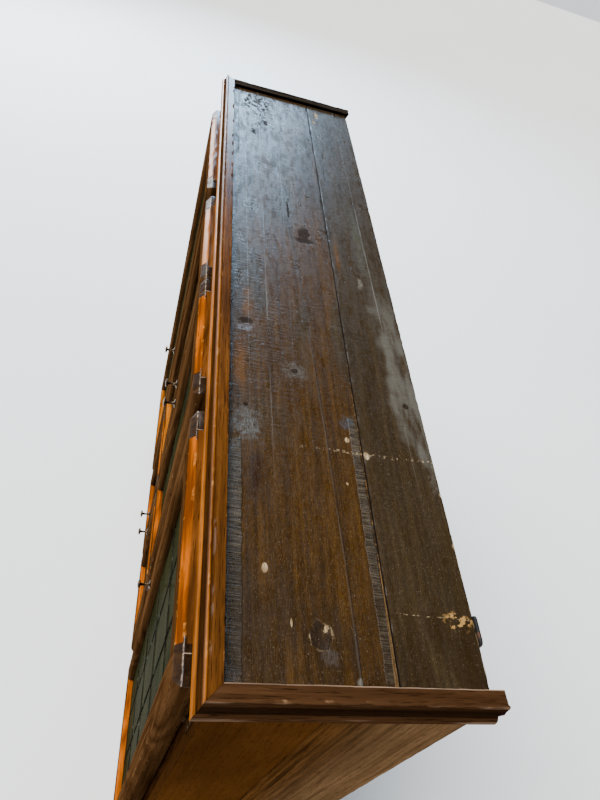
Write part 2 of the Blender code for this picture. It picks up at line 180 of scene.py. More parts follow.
def softened(corners, spacing):
    """An outline of (x, y, softness) corners, anticlockwise, as (points, outward normals, arris).

    Each corner is a quadratic curve that starts and ends its softness away from the corner, and
    the straight stretches between them are divided into equal steps. arris is 1 on the corners.
    """
    spots = np.array([corner[:2] for corner in corners], float)
    soft = np.array([corner[2] for corner in corners], float)
    step = np.linspace(0, 1, 5)[:, None]
    points, arris = [], []
    for here in range(len(spots)):
        before, after = spots[here - 1], spots[(here + 1) % len(spots)]
        back = (before - spots[here]) / np.linalg.norm(before - spots[here])
        on = (after - spots[here]) / np.linalg.norm(after - spots[here])
        start, end = spots[here] + back * soft[here], spots[here] + on * soft[here]
        if soft[here] > 0:
            bend = (1 - step) ** 2 * start + 2 * step * (1 - step) * spots[here] + step**2 * end
            points.append(bend)
            arris.append(np.ones(len(bend)) if soft[here] < 0.003 else np.zeros(len(bend)))
        else:
            points.append(spots[here][None])
            arris.append(np.zeros(1))
        stop = after - on * soft[(here + 1) % len(spots)]
        run = np.linalg.norm(stop - end)
        count = int(run / spacing)
        if run > 0.003:
            share = np.concatenate([[0.0006], np.linspace(0, run, count + 1)[1:-1], [run - 0.0006]])
            points.append(end + on * share[:, None])
            arris.append(np.zeros(len(share)))
    points, arris = np.concatenate(points), np.concatenate(arris)
    tangent = np.roll(points, -1, axis=0) - np.roll(points, 1, axis=0)
    tangent /= np.linalg.norm(tangent, axis=1)[:, None]
    return points, np.stack([tangent[:, 1], -tangent[:, 0]], 1), arris


def carried(
    ring, corner, across, up, low, high, spacing, seed, hollow=0.0002, chip=0.0008, end=0.0008, slope=0.0
):
    """A closed skin: the ring carried along across x up, from low to high, each by ring point.

    Point = corner + across * a + up * b + along * s, less dents along the ring's normal. The dents
    are broad hollows everywhere and chips on the arrises. The two ends are drawn in by end, and
    bevelled by slope: a ring point starts slope short of the end and is lowered by slope on it.
    """
    points, normals, arris = ring
    shape = len(points)
    low, high, slope = (np.broadcast_to(value, shape) for value in (low, high, slope))
    length = float((high - low).mean())
    count = max(int(length / spacing), 2)
    inset, shift, rise, edge = [0], [0], [1], [0]
    if end > 0:
        inset, shift = [end, 0.3 * end, 0, 0, 0], [0, 0.3 * end, end, 1.4 * end, 1.8 * end]
        rise, edge = [1, 1, 0.96, 0.04, 0], [1, 1, 0.8, 0.8, 0]
    inset, shift, rise, edge = (np.array(value, float)[:, None] for value in (inset, shift, rise, edge))
    middle = np.linspace(0, 1, count + 1)[1:-1, None]
    first = low + shift + slope * (1 - rise)
    last = high - (shift + slope * (1 - rise))[::-1]
    s = np.concatenate([first, low + slope + middle * (high - low - 2 * slope), last])
    blank = np.zeros((count - 1, 1))
    inset, rise, edge = (np.concatenate([part, blank, part[::-1]]) for part in (inset, rise, edge))
    edge = np.maximum(edge, arris)
    girth = np.broadcast_to(np.cumsum(np.linalg.norm(points - np.roll(points, 1, axis=0), axis=1)), s.shape)
    dent = hollow * (0.5 + 0.5 * mottle(girth, s, 0.045, seed)) + inset
    dent = dent + edge * chip * np.clip(mottle(girth, s, 0.011, seed + 1) - 0.15, 0, 1)
    section = points - normals * dent[..., None]
    section = np.stack([section[..., 0], section[..., 1] - slope * rise], -1)
    across, up = np.array(across, float), np.array(up, float)
    along = np.cross(across, up)
    skin = np.array(corner) + section[..., :1] * across + section[..., 1:] * up + s[..., None] * along
    wood = np.stack([s, section[..., 0], section[..., 1]], -1)
    wood = wood + np.random.default_rng(seed).uniform(-5, 5, 3)
    near = np.minimum(s - low.min(), high.max() - s)
    place = np.stack([section[..., 0], section[..., 1], near], -1)
    return skin, wood, place, edge


def piece(name, skins, look, body, slot, *nodes):
    """One object made of closed skins. The faces run between neighbouring rings, and each end
    ring is one flat face. On the points are stored the wood coordinates, the place in the section
    (across, up, distance from the nearer end) and the mask of the arrises."""
    spots, faces, woods, places, edges, start = [], [], [], [], [], 0
    for skin, wood, place, edge in skins:
        rings, around = skin.shape[:2]
        index = start + np.arange(rings * around).reshape(rings, around)
        turn = np.roll(index, -1, axis=1)
        quads = np.stack([index[:-1], turn[:-1], turn[1:], index[1:]], -1).reshape(-1, 4)
        faces += quads.tolist() + [index[0, ::-1].tolist(), index[-1].tolist()]
        for store, part in ((spots, skin), (woods, wood), (places, place)):
            store.append(part.reshape(-1, 3))
        edges.append(edge.reshape(-1))
        start += rings * around
    mesh = bpy.data.meshes.new(name)
    mesh.from_pydata(np.concatenate(spots).tolist(), [], faces)
    for label, store in (("wood", woods), ("section", places), ("arris", edges)):
        values = np.concatenate(store).astype(np.float32)
        kind, field = ("FLOAT", "value") if values.ndim == 1 else ("FLOAT_VECTOR", "vector")
        mesh.attributes.new(label, kind, "POINT").data.foreach_set(field, values.ravel())
    mesh.shade_smooth()
    mesh.set_sharp_from_angle(angle=math.radians(50))
    mesh.materials.append(look)
    made = bpy.data.objects.new(name, mesh)
    bpy.context.scene.collection.objects.link(made)
    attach(made, body)
    if nodes:
        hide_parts(*nodes)
    return made


def stretched(tree, vector, factors):
    """The vector times these factors, one for each axis."""
    return wire(tree, "VectorMath", {"operation": "MULTIPLY"}, {0: vector, 1: factors}).outputs[0]


def sums(tree, operation, first, second=0.0):
    """One step of arithmetic on two values, held between 0 and 1."""
    settings = {"operation": operation, "use_clamp": True}
    return wire(tree, "Math", settings, {0: first, 1: second}).outputs[0]


def fade(tree, value, low, high):
    """Smooth step: 0 where the value is at low, 1 where it is at high."""
    inputs = {"Value": value, "From Min": low, "From Max": high}
    return wire(tree, "MapRange", {"interpolation_type": "SMOOTHSTEP"}, inputs).outputs[0]


def both(tree, *parts):
    """The product of masks and shares, held between 0 and 1."""
    whole = parts[0]
    for part in parts[1:]:
        whole = sums(tree, "MULTIPLY", whole, part)
    return whole


def reckon(tree, operation, *values):
    """One step of arithmetic on one, two or three values, without limits."""
    return wire(tree, "Math", {"operation": operation}, dict(enumerate(values))).outputs[0]


def ranged(tree, value, low, high, start=0.0, end=1.0):
    """A straight line from low, where the value is at start, to high, where it is at end."""
    inputs = {"Value": value, "From Min": start, "From Max": end, "To Min": low, "To Max": high}
    return wire(tree, "MapRange", None, inputs).outputs[0]


def mixed(tree, amount, first, second, way="MIX"):
    """Two colours blended by an amount from 0 to 1."""
    made = wire(tree, "Mix", {"data_type": "RGBA", "blend_type": way})
    for place, value in ((0, amount), (6, first), (7, second)):
        if isinstance(value, bpy.types.NodeSocket):
            tree.links.new(value, made.inputs[place])
        else:
            made.inputs[place].default_value = value if place == 0 else (*value, 1)
    return made.outputs[2]


def relief(tree, shader, height, depth, strength=0.6):
    """Bump of this depth in metres on the shader."""
    inputs = {"Height": height, "Distance": depth, "Strength": strength}
    tree.links.new(wire(tree, "Bump", None, inputs).outputs[0], shader.inputs["Normal"])


def grain_group():
    """Oak figure: rings are a warped mottling folded back and forth, streaks are mottling drawn
    out along the grain, pores are its darkest short dashes, and clouds are broad changes of tone."""
    group = bpy.data.node_groups.new("oak_grain", "ShaderNodeTree")
    group.interface.new_socket("Wood", in_out="INPUT", socket_type="NodeSocketVector")
    for name in ("Figure", "Streaks", "Pores", "Clouds"):
        group.interface.new_socket(name, in_out="OUTPUT", socket_type="NodeSocketFloat")
    wood = group.nodes.new("NodeGroupInput").outputs["Wood"]
    out = group.nodes.new("NodeGroupOutput")
    broad = noise(group, stretched(group, wood, (1.3, 9, 9)), 1.0, 2.0, 0.3)
    folds = reckon(group, "MULTIPLY", broad, 26.0)
    rings = reckon(group, "PINGPONG", folds, 1.0)
    streaks = noise(group, stretched(group, wood, (5, 170, 170)), 1.0, 5.0, 0.2)
    half = reckon(group, "MULTIPLY", rings, 0.45)
    figure = sums(group, "ADD", half, both(group, streaks, 0.55))
    dashes = noise(group, stretched(group, wood, (38, 900, 900)), 1.0, 2.0)
    group.links.new(figure, out.inputs["Figure"])
    group.links.new(streaks, out.inputs["Streaks"])
    group.links.new(fade(group, dashes, 0.56, 0.68), out.inputs["Pores"])
    group.links.new(noise(group, stretched(group, wood, (3, 8, 8)), 1.0, 3.0), out.inputs["Clouds"])
    return group


oak_grain = grain_group()


def arris_wear_and_highlight_group():
    """Where an arris is rubbed: real wear on the case, and a painted highlight on the stiles, rails and
    cornice front. A fine mottling, which takes in more of it the greater the wear.
    """
    group = bpy.data.node_groups.new("arris_wear_and_highlight", "ShaderNodeTree")
    group.interface.new_socket("Wood", in_out="INPUT", socket_type="NodeSocketVector")
    group.interface.new_socket("Wear", in_out="INPUT", socket_type="NodeSocketFloat")
    group.interface.new_socket("Mask", in_out="OUTPUT", socket_type="NodeSocketFloat")
    given = group.nodes.new("NodeGroupInput").outputs
    out = group.nodes.new("NodeGroupOutput")
    edge = wire(group, "Attribute", {"attribute_name": "arris"}).outputs["Fac"]
    start = reckon(group, "MULTIPLY_ADD", given["Wear"], -0.14, 0.66)
    rub = fade(group, noise(group, given["Wood"], 60.0, 5.0), start, 0.76)
    group.links.new(both(group, edge, rub, 0.7), out.inputs["Mask"])
    return group


arris_wear_and_highlight = arris_wear_and_highlight_group()


def section_of(tree):
    """The place in the section: (across, up, distance from the nearer end)."""
    given = wire(tree, "Attribute", {"attribute_name": "section"}).outputs["Vector"]
    return wire(tree, "SeparateXYZ", None, {0: given}).outputs


def oak(
    name, deep, middle, bright, worn, gloss, wear=0.5, shine=0.0, rings=0.5,
    dirt_and_shade=None, polish=None, accent=None,
):
    """Varnished oak. Colour follows the figure, darker in the pores, broken up by broad clouds,
    and rubbed to the worn colour on the arrises: real wear on the case, and a painted highlight
    on the stiles, the rails and the cornice's front length. gloss is the mean roughness and shine
    the specular level. The last three arguments give a mask each, with the accent's colour after
    it: the first darkens towards black, on the stiles' end grain, on the front faces of the sides,
    and as painted shade in the cornice's lip and cove; the second sets the coat; some accents are
    painted highlights."""
    look, tree, shader = new_look(name)
    wood = wire(tree, "Attribute", {"attribute_name": "wood"}).outputs["Vector"]
    figure = wire(tree, "Group", {"node_tree": oak_grain}, {"Wood": wood}).outputs
    share = {0: rings, 2: figure["Streaks"], 3: figure["Figure"]}
    tone = wire(tree, "Mix", {"data_type": "FLOAT"}, share).outputs[0]
    colour = tones(tree, tone, [(0.25, deep), (0.48, middle), (0.75, bright)])
    cloudy = tones(tree, figure["Clouds"], [(0.30, (0.66, 0.64, 0.62)), (0.70, (1.2, 1.18, 1.15))])
    colour = mixed(tree, 1.0, colour, cloudy, "MULTIPLY")
    dark = [value * 0.30 for value in deep]
    colour = mixed(tree, both(tree, figure["Pores"], 0.75), colour, dark)
    section = section_of(tree)
    # Darkening towards black: the stiles' end grain, the front faces of the sides, and painted shade in the
    # cornice's lip and cove.
    if dirt_and_shade:
        mask = both(tree, dirt_and_shade(tree, section), 0.92)
        colour = mixed(tree, mask, colour, (0.004, 0.0022, 0.0012))
    if accent:
        accent_mask, accent_colour = accent
        shaded = [value * 0.30 for value in accent_colour]
        in_pores = [value * 0.22 for value in accent_colour]
        tint = tones(tree, tone, [(0.36, shaded), (0.62, accent_colour)])
        tint = mixed(tree, both(tree, figure["Pores"], 0.8), tint, in_pores)
        colour = mixed(tree, accent_mask(tree, section), colour, tint)
    # Rubbed arrises: real wear on the case, and painted highlight on the stiles, the rails and the cornice's
    # front length.
    rub = wire(tree, "Group", {"node_tree": arris_wear_and_highlight}, {"Wood": wood, "Wear": wear}).outputs["Mask"]
    tree.links.new(mixed(tree, rub, colour, worn), shader.inputs["Base Color"])
    rough = ranged(tree, figure["Streaks"], gloss + 0.14, gloss - 0.12)
    tree.links.new(rough, shader.inputs["Roughness"])
    shader.inputs["Specular IOR Level"].default_value = shine
    if polish:
        tree.links.new(polish(tree, section), shader.inputs["Coat Weight"])
        shader.inputs["Coat Roughness"].default_value = 0.22
    relief(tree, shader, sums(tree, "SUBTRACT", figure["Streaks"], figure["Pores"]), 0.0005)
    return look


case_oak = oak(
    "case_oak", (0.012, 0.0045, 0.0015), (0.026, 0.0100, 0.0030), (0.050, 0.020, 0.006), (0.10, 0.05, 0.02),
    0.42,
)
inner_oak = oak(
    "inner_oak", (0.018, 0.008, 0.003), (0.040, 0.018, 0.007), (0.07, 0.034, 0.015), (0.09, 0.05, 0.025),
    0.62,
)
AXES = {"x": (1, 2), "y": (2, 0), "z": (0, 1)}


def timber(name, low, high, grain, look, seed, node=None, spacing=0.03, soft=0.0015):
    """A board of the case between two corners, its grain along one axis."""
    low, high = Vector(low), Vector(high)
    first, second = AXES[grain]
    third = 3 - first - second
    width, depth = high[first] - low[first], high[second] - low[second]
    corners = [(0, 0, soft), (width, 0, soft), (width, depth, soft), (0, depth, soft)]
    across, up = [0, 0, 0], [0, 0, 0]
    across[first], up[second] = 1, 1
    skin = carried(softened(corners, spacing), low, across, up, 0, high[third] - low[third], spacing, seed)
    return piece(name, [skin], look, "carcass", "oak", *([node] if node else []))


board_grains = {
    "left_partition": "z", "right_partition": "z", "left_post": "z", "right_post": "z",
    "left_end_stile": "z", "right_end_stile": "z", "bottom_board": "x", "frieze_rail": "x",
    "transom_rail": "x", "bottom_rail": "x", "tier_deck": "x", "lower_tier_shelf_1": "x",
    "upper_tier_shelf_1": "x", "upper_tier_shelf_2": "x", "left_bay_shelf_1": "x",
    "left_bay_shelf_2": "x", "right_bay_shelf_1": "x", "right_bay_shelf_2": "x",
}
for number, (node, grain) in enumerate(board_grains.items()):
    low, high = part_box(node)
    look = case_oak if ("post" in node or "stile" in node or "rail" in node) else inner_oak
    name = node.replace("_1", "_lower").replace("_2", "_upper") + "_board"
    timber(name, low, high, grain, look, 20 + number, node)

# ---------------------------------------------------------------------------------------------
# Each side is two oak boards, glued edge to edge, upright. The front one is darker and richer;
# the back one has faded to a greyer brown, and the glue line between them shows as a dark line.

SIDE_SEAM = 0.0050  # y of the glue line
GLUE_LINE, STEP, SOFT = 0.0003, 0.02, 0.0010


def front_face_darkening(tree, section):
    """Darkens the narrow front face of a side board."""
    return both(tree, fade(tree, section["Y"], 0.0016, 0.0004), 0.62)


def seam_mask(tree, section):
    """The back board keeps the front one's colour by the seam and fades away from it."""
    return fade(tree, section["Y"], 0.120, 0.004)


front_side_oak = oak(
    "front_side_oak", (0.066, 0.0250, 0.0052), (0.080, 0.031, 0.0068), (0.094, 0.037, 0.0085),
    (0.09, 0.035, 0.010), 0.40, 0.3, 0.0, 0.3, front_face_darkening,
)
back_side_oak = oak(
    "back_side_oak", (0.085, 0.046, 0.020), (0.145, 0.082, 0.038), (0.21, 0.124, 0.061), (0.14, 0.08, 0.04),
    0.50, 0.3, 0.0, 0.3, None, None, (seam_mask, (0.110, 0.047, 0.0125)),
)
for hand, seed in (("left", 50), ("right", 60)):
    node = hand + "_side_panel"
    low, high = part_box(node)
    middle = (high.x, SIDE_SEAM - GLUE_LINE, high.z)
    timber(hand + "_side_front_board", low, middle, "z", front_side_oak, seed, node, STEP, SOFT)
    middle = (low.x, SIDE_SEAM, low.z)
    timber(hand + "_side_back_board", middle, high, "z", back_side_oak, seed + 3, None, STEP, SOFT)

# ---------------------------------------------------------------------------------------------
# The back: thirteen upright matchboards, thin and unpolished, each with its edges taken off so
# that a V shows between two of them.

low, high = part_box("back_panel")
MATCHBOARDS = 13
pitch = (high.x - low.x) / MATCHBOARDS
skins = []
for number in range(MATCHBOARDS):
    deep, groove, tongue = high.y - low.y, 0.004 * (number > 0), 0.0035 * (number < MATCHBOARDS - 1)
    tip = pitch + tongue
    section = [(0, 0, 0.002), (pitch, 0, 0.002), (pitch, 0.35 * deep, 0), (tip, 0.35 * deep, 0)]
    section += [(tip, 0.6 * deep, 0), (pitch, 0.6 * deep, 0), (pitch, deep, 0.003), (0, deep, 0.003)]
    section += [(0, 0.65 * deep, 0), (groove, 0.65 * deep, 0), (groove, 0.3 * deep, 0), (0, 0.3 * deep, 0)]
    if number == MATCHBOARDS - 1:
        section = section[:2] + section[6:]
    if number == 0:
        section = section[:-4]
    corner, ring = (low.x + pitch * number, low.y, low.z), softened(section, 0.03)
    skins.append(carried(ring, corner, (1, 0, 0), (0, 1, 0), 0, high.z - low.z, 0.03, 80 + number))
piece("back_matchboards", skins, inner_oak, "carcass", "dark_oak", "back_panel")

# ---------------------------------------------------------------------------------------------
# The cornice: one oak moulding, mitred at the two front corners and square at the back, where
# its lower part stops short. From the boards outwards: flat, crest, cove and bead. The left end
# has been planed down lower than the rest.

LIP, LEFT_LIP = 0.0153, 0.0068  # how far the moulding stands above the top boards
FLAT, CREST, COVE, PROJECTION = 0.0163, 0.0218, 0.0272, 0.0313  # from its inner face outwards
BOARD = 0.018
SHORT, MITRE_GAP = 0.008, 0.0004


def joined(tree, *masks):
    """The strongest of several masks."""
    whole = masks[0]
    for mask in masks[1:]:
        whole = sums(tree, "MAXIMUM", whole, mask)
    return whole


def cornice_painted_shade(tree, section):
    """Painted shade on the lip's inner face and along the bottom of the cove."""
    inner = both(tree, fade(tree, section["X"], 0.0012, 0.0002), fade(tree, section["Y"], 0.0165, 0.0130))
    cove = both(tree, fade(tree, section["X"], 0.0212, 0.0228), fade(tree, section["X"], 0.0275, 0.0266))
    cove = both(tree, cove, fade(tree, section["Y"], 0.0150, 0.0060))
    return joined(tree, inner, both(tree, cove, 0.75))


def cornice_polish(tree, section):
    """Varnish lies thick on the crest and on top of the bead, and is worn towards the right end."""
    crest = both(tree, fade(tree, section["X"], 0.0150, 0.0175), fade(tree, section["Y"], 0.0080, 0.0100))
    flat = both(tree, fade(tree, section["X"], 0.0165, 0.0150), fade(tree, section["Y"], 0.0040, 0.0060))
    bead = both(tree, fade(tree, section["X"], 0.0268, 0.0276), fade(tree, section["Y"], -0.0060, -0.0030))
    coated = joined(tree, crest, bead, both(tree, flat, 0.8))
    along = wire(tree, "SeparateXYZ", None, {0: wire(tree, "TexCoord").outputs["Object"]}).outputs["X"]
    return both(tree, coated, ranged(tree, along, 0.22, 0.75, 0.45, -0.35))


def bead_highlight_mask(tree, section):
    """The bead, down to its lower edge, and the crest, painted bright orange: painted highlight where they
    face the light.
    """
    bead = fade(tree, section["X"], 0.0268, 0.0276)
    crest = both(tree, fade(tree, section["X"], 0.0165, 0.0178), fade(tree, section["X"], 0.0222, 0.0214))
    return joined(tree, bead, both(tree, crest, 0.6))


def apart(tree, value, place):
    """How far a value is from a place: |value - place|."""
    return reckon(tree, "ABSOLUTE", reckon(tree, "SUBTRACT", value, place))


def dust_and_highlight_mask(tree, section):
    """Pale lines along the inner arris of the lip, the edge of the crest and the bead: painted highlight
    along these arrises, with some dust and wear.
    """
    line = fade(tree, section["X"], 0.0020, 0.0008)
    line = both(tree, line, fade(tree, section["Y"], LIP - 0.0030, LIP - 0.0014))
    rim = fade(tree, apart(tree, section["X"], CREST - 0.0006), 0.0011, 0.0004)
    rim = both(tree, rim, fade(tree, section["Y"], 0.0140, 0.0160))
    bead = fade(tree, section["X"], PROJECTION - 0.0016, PROJECTION - 0.0002)
    place = wire(tree, "CombineXYZ", None, {0: section["X"], 1: section["Y"], 2: section["Z"]}).outputs[0]
    uneven = fade(tree, noise(tree, stretched(tree, place, (90, 90, 14)), 1.0, 5.0), 0.42, 0.66)
    # The rim and bead lines are painted highlight with some wear.
    rubbed = both(tree, joined(tree, rim, bead), both(tree, uneven, 0.55))
    return joined(tree, both(tree, line, 0.8), rubbed)


# On the front length, the bright orange bead and crest and the pale worn arrises are painted highlight, and
# the dark lip and cove are painted shade.
cornice_oak = oak(
    "cornice_oak", (0.034, 0.0115, 0.0022), (0.084, 0.029, 0.0050), (0.150, 0.056, 0.011),
    (0.40, 0.19, 0.055), 0.34, 0.7, 0.0, 0.4, cornice_painted_shade, cornice_polish, (bead_highlight_mask, (0.34, 0.100, 0.006)),
)
# The pale accent lines of the right end are painted highlight, with some dust and wear.
end_cornice_oak = oak(
    "end_cornice_oak", (0.028, 0.0125, 0.0050), (0.050, 0.0225, 0.0092), (0.078, 0.037, 0.0160),
    (0.21, 0.12, 0.06), 0.36, 0.45, 0.0, 0.25, cornice_painted_shade, None, (dust_and_highlight_mask, (0.44, 0.29, 0.19)),
)
left_cornice_oak = oak(
    "left_cornice_oak", (0.012, 0.0095, 0.0070), (0.024, 0.019, 0.0145), (0.044, 0.036, 0.028),
    (0.10, 0.085, 0.07), 0.42, 0.6, 0.0, 0.3, cornice_painted_shade,
)


def cornice_ring(lip, spacing):
    """Section as (outwards, up): most of a half ellipse for the bead, a hollow quarter for the cove."""
    turn = np.radians(np.linspace(-80, 75, 9))
    foot, reach = COVE - 0.0008, PROJECTION - COVE + 0.0008
    bead = [(foot + reach * math.cos(t), -0.0090 + 0.0088 * math.sin(t), 0) for t in turn]
    turn = np.radians(np.linspace(4, 86, 7))
    top = lip + 0.0031
    cove = [(COVE - (COVE - CREST) * math.sin(t), (top - 0.0012) * (1 - math.cos(t)), 0) for t in turn]
    crest = [(CREST - 0.0004, top, 0.0009), (CREST - 0.0030, top, 0.0009)]
    flat = [(FLAT + 0.0008, lip + 0.0004, 0.0008), (0, lip, 0.0012)]
    return softened([(0, -BOARD, 0.0005), (COVE, -BOARD, 0.0006), *bead, *cove, *crest, *flat], spacing)


ring = cornice_ring(LIP, 0.004)
outwards = ring[0][:, 0]
low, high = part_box("cornice_front")
top_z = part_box("top_board_front")[1].z
inner_front = low.y + PROJECTION
right_end, left_end = high.x - PROJECTION, low.x + PROJECTION
back_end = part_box("cornice_right_return")[1].y
front_run, end_run = right_end - left_end, back_end - inner_front
stop = np.where(ring[0][:, 1] < 0.001, SHORT, 0.0)
front = carried(
    ring, (right_end, inner_front, top_z), (0, -1, 0), (0, 0, 1), -outwards, front_run + outwards,
    0.006, 100, 0.0003, 0.0012, 0.0,
)
right = carried(
    ring, (right_end, back_end, top_z), (1, 0, 0), (0, 0, 1), stop, end_run + outwards - MITRE_GAP,
    0.006, 104, 0.0003, 0.0014, 0.0,
)
ring = cornice_ring(LEFT_LIP, 0.004)
stop = np.where(ring[0][:, 1] < 0.001, SHORT, 0.0)
left = carried(
    ring, (left_end, inner_front, top_z), (-1, 0, 0), (0, 0, 1), MITRE_GAP - ring[0][:, 0], end_run - stop,
    0.006, 108, 0.0003, 0.0014, 0.0,
)
piece("cornice_front_length", [front], cornice_oak, "carcass", "oak", "cornice_front")
piece("cornice_right_end", [right], end_cornice_oak, "carcass", "oak", "cornice_right_return")
piece("cornice_left_end", [left], left_cornice_oak, "carcass", "oak", "cornice_left_return")

# ---------------------------------------------------------------------------------------------
# The plinth: a flat oak board with a hollow along its top edge, mitred round the foot of the case.

low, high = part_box("plinth_front")
THICK, TALL = high.y - low.y, high.z - low.z
turn = np.radians(np.linspace(0, 90, 6))
hollow = [(THICK - 0.00765 * math.sin(t), TALL - 0.010 + 0.009 * (1 - math.cos(t)), 0) for t in turn]
ring = softened([(0, 0, 0), (THICK, 0, 0.001), (THICK, TALL - 0.012, 0.0012), *hollow, (0, TALL, 0)], 0.012)
outwards = ring[0][:, 0]
right_end, left_end, inner_front = high.x - THICK, low.x + THICK, low.y + THICK
back_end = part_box("plinth_right_return")[1].y
front_run, end_run = right_end - left_end, back_end - inner_front
front = carried(
    ring, (right_end, inner_front, 0), (0, -1, 0), (0, 0, 1), -outwards, front_run + outwards,
    0.02, 120, end=0.0,
)
right = carried(
    ring, (right_end, back_end, 0), (1, 0, 0), (0, 0, 1), 0, end_run + outwards - MITRE_GAP,
    0.02, 124, end=0.0,
)
left = carried(
    ring, (left_end, inner_front, 0), (-1, 0, 0), (0, 0, 1), MITRE_GAP - outwards, end_run,
    0.02, 128, end=0.0,
)
piece("plinth_front_length", [front], case_oak, "carcass", "oak", "plinth_front")
piece("plinth_right_end", [right], case_oak, "carcass", "oak", "plinth_right_return")
piece("plinth_left_end", [left], case_oak, "carcass", "oak", "plinth_left_return")

# ---------------------------------------------------------------------------------------------
# The top: two rough deal boards laid side by side inside the cornice. They show saw marks, knots,
# an open shake, scuffs and chips down to bare wood, under old stain and broken varnish.


def patch_group():
    """A ragged oval stain, 1 inside and 0 outside, by the distance from Centre over Size. The edge
    is moved to and fro by a mottling."""
    group = bpy.data.node_groups.new("ragged_patch", "ShaderNodeTree")
    for name in ("Place", "Centre", "Size"):
        group.interface.new_socket(name, in_out="INPUT", socket_type="NodeSocketVector")
    for name in ("Ragged", "Edge"):
        group.interface.new_socket(name, in_out="INPUT", socket_type="NodeSocketFloat")
    group.interface.new_socket("Mask", in_out="OUTPUT", socket_type="NodeSocketFloat")
    given = group.nodes.new("NodeGroupInput").outputs
    out = group.nodes.new("NodeGroupOutput")
    away = {0: given["Place"], 1: given["Centre"]}
    away = wire(group, "VectorMath", {"operation": "SUBTRACT"}, away).outputs[0]
    share = wire(group, "VectorMath", {"operation": "DIVIDE"}, {0: away, 1: given["Size"]}).outputs[0]
    distance = wire(group, "VectorMath", {"operation": "LENGTH"}, {0: share}).outputs["Value"]
    rough = reckon(group, "SUBTRACT", noise(group, given["Place"], 90.0, 6.0), 0.5)
    rough = reckon(group, "MULTIPLY", rough, given["Ragged"])
    distance = reckon(group, "ADD", distance, rough)
    inner = reckon(group, "SUBTRACT", 1.0, given["Edge"])
    group.links.new(fade(group, distance, 1.0, inner), out.inputs["Mask"])
    return group


ragged_patch = patch_group()


def patch(tree, place, centre, size, ragged=1.0, edge=0.4):
    """The mask of one ragged oval at (x, y) centre, with half sizes along x and y."""
    inputs = {"Place": place, "Centre": (*centre, board_high.z), "Size": (*size, 10.0)}
    inputs |= {"Ragged": ragged, "Edge": edge}
    return wire(tree, "Group", {"node_tree": ragged_patch}, inputs).outputs["Mask"]


def on_line(tree, spread, line, width, wander=0.0):
    """1 on the line y = a + b x + c x**2, and 0 from this distance. It wanders by a mottling."""
    a, b, c = line
    slope = reckon(tree, "MULTIPLY_ADD", spread["X"], c, b)
    there = reckon(tree, "MULTIPLY_ADD", slope, spread["X"], a)
    along = wire(tree, "CombineXYZ", None, {0: spread["X"]}).outputs[0]
    drift = reckon(tree, "MULTIPLY", noise(tree, along, 14.0, 4.0), wander)
    off = apart(tree, reckon(tree, "SUBTRACT", spread["Y"], there), drift)
    return fade(tree, off, width, 0.3 * width)


def strip(tree, place, spread, centre, size):
    """The mask of a long band along x with nearly straight edges, ragged by a small mottling."""
    ragged = reckon(tree, "SUBTRACT", noise(tree, place, 70.0, 5.0), 0.5)
    masks = []
    for axis, middle, half, drift, soft in zip("XY", centre, size, (0.05, 0.007), (0.008, 0.0009)):
        off = reckon(tree, "MULTIPLY_ADD", ragged, drift, reckon(tree, "SUBTRACT", spread[axis], middle))
        masks.append(fade(tree, reckon(tree, "ABSOLUTE", off), half + soft, half - soft))
    return both(tree, *masks)


# Places on the boards as (x, y), (half size along x, along y), with tint or raggedness
SAWN_STRIPS = [
    ((0.618, -0.1195), (0.170, 0.0112)),
    ((0.572, 0.0672), (0.200, 0.0064)),
    ((-0.575, -0.126), (0.175, 0.010)),
]
BLOOMS_AND_HIGHLIGHT = [
    ((0.415, -0.101), (0.040, 0.030), (0.082, 0.088, 0.088), 0.85),
    ((0.386, 0.0567), (0.016, 0.013), (0.036, 0.048, 0.062), 0.75),
    ((0.289, -0.0202), (0.026, 0.026), (0.085, 0.082, 0.072), 0.55),
    # a painted highlight: the bluish pale patch near the front edge
    ((0.203, -0.105), (0.008, 0.022), (0.12, 0.135, 0.16), 0.8),
    ((0.742, -0.0066), (0.015, 0.018), (0.090, 0.086, 0.084), 0.75),
    ((0.500, -0.089), (0.060, 0.016), (0.0125, 0.0035, 0.0010), 0.9),
    ((0.485, 0.186), (0.030, 0.010), (0.10, 0.09, 0.075), 0.5),
    ((0.018, 0.1315), (0.022, 0.007), (0.15, 0.14, 0.11), 0.8),
    ((-0.14, 0.146), (0.17, 0.016), (0.060, 0.062, 0.045), 0.6),
    ((0.765, -0.121), (0.014, 0.012), (0.085, 0.08, 0.08), 0.7),
    ((0.772, 0.0290), (0.010, 0.004), (0.15, 0.14, 0.12), 0.8),
]
THIN_STAIN = [
    ((0.150, -0.098), (0.034, 0.012)),
    ((0.108, -0.099), (0.026, 0.011)),
    ((0.290, -0.112), (0.075, 0.017)),
    ((-0.07, 0.091), (0.10, 0.007)),
]
DARK_MARKS = [
    ((0.185, -0.100), (0.010, 0.016), 1.2),
    ((-0.0960, 0.0244), (0.0125, 0.026), 1.0),
    ((-0.122, 0.0244), (0.028, 0.0165), 1.0),
    ((-0.200, -0.006), (0.045, 0.0035), 2.0),
    ((0.3754, -0.1018), (0.005, 0.005), 0.8),
    ((0.333, 0.1689), (0.008, 0.008), 1.6),
    ((0.289, -0.0202), (0.006, 0.007), 1.6),
    ((-0.535, -0.078), (0.015, 0.0085), 2.2),
    ((-0.60, -0.047), (0.016, 0.010), 2.6),
]
